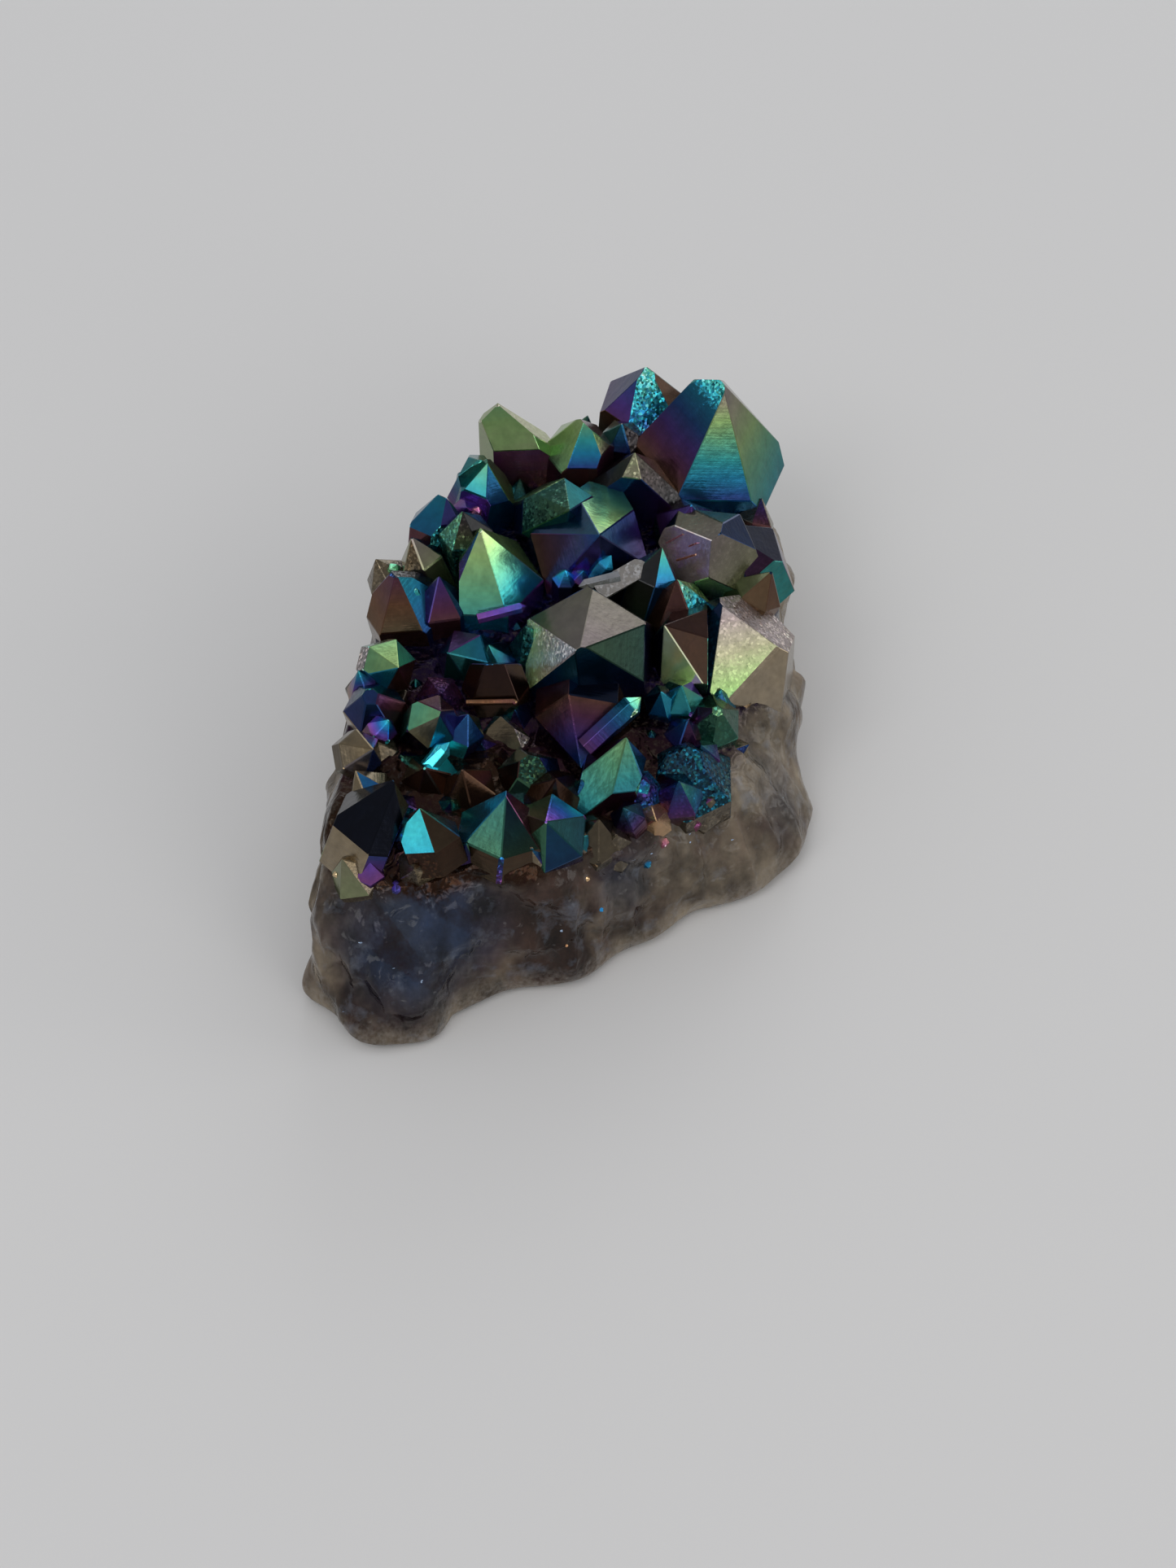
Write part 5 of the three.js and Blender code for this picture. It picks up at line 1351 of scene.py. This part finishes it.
# %% The lights
SOFTBOXES = [  # name, azimuth, elevation, size in metres, power in watts, colour
    ("softbox_left", -132, 52, 0.45, 1.3, (1, 1, 1)),
    ("softbox_right", -50, 26, 0.4, 0.9, (1.0, 0.98, 0.95)),
    ("softbox_far_right", 5, 16, 0.4, 0.9, (1.0, 0.98, 0.95)),
    ("softbox_behind", 80, 18, 0.55, 1.6, (0.95, 0.98, 1.0)),
]
LIGHT_DISTANCE, LIGHTS_LOOK_AT = 0.9, (0, 0, 0.015)  # metres
ROOM_GREY, ROOM_LIGHT = (0.55, 0.56, 0.58), 0.95


def softbox(name, azimuth, elevation, size, power, colour):
    """A square soft light that stands at an azimuth and an elevation and looks at the stone. A light shines
    along its own -Z, so it is tipped by 90 - elevation and turned by azimuth + 90."""
    lamp = bpy.data.lights.new(name, "AREA")
    lamp.size, lamp.energy, lamp.color = size, power, colour
    light = bpy.data.objects.new(name, lamp)
    light.location = looking_to(azimuth, elevation) * LIGHT_DISTANCE + LIGHTS_LOOK_AT
    light.rotation_euler = (np.radians(90 - elevation), 0, np.radians(azimuth + 90))
    bpy.context.scene.collection.objects.link(light)


for row in SOFTBOXES:
    softbox(*row)
room = bpy.data.worlds.new("studio")
room.use_nodes = True
set_inputs(room.node_tree.nodes["Background"], {"Color": ROOM_GREY, "Strength": ROOM_LIGHT})
bpy.context.scene.world = room

# %% The camera
CAMERA_LOOKS_AT = np.array([3.083, 1.840, -6.428]) * MILLIMETRE
CAMERA_DISTANCE = 455 * MILLIMETRE
CAMERA_TILT = 40  # degrees from looking straight down
LENS, SENSOR = 85, 36  # millimetres
camera_data = bpy.data.cameras.new("camera")
camera_data.lens, camera_data.sensor_width = LENS, SENSOR
camera = bpy.data.objects.new("camera", camera_data)
camera.rotation_euler = (np.radians(CAMERA_TILT), 0, 0)
camera.location = CAMERA_LOOKS_AT + CAMERA_DISTANCE * np.array(
    [0, -np.sin(np.radians(CAMERA_TILT)), np.cos(np.radians(CAMERA_TILT))])
bpy.context.scene.collection.objects.link(camera)
bpy.context.scene.camera = camera
bpy.context.scene.view_settings.view_transform = "Standard"
print("camera, m:", [round(part, 4) for part in camera.location])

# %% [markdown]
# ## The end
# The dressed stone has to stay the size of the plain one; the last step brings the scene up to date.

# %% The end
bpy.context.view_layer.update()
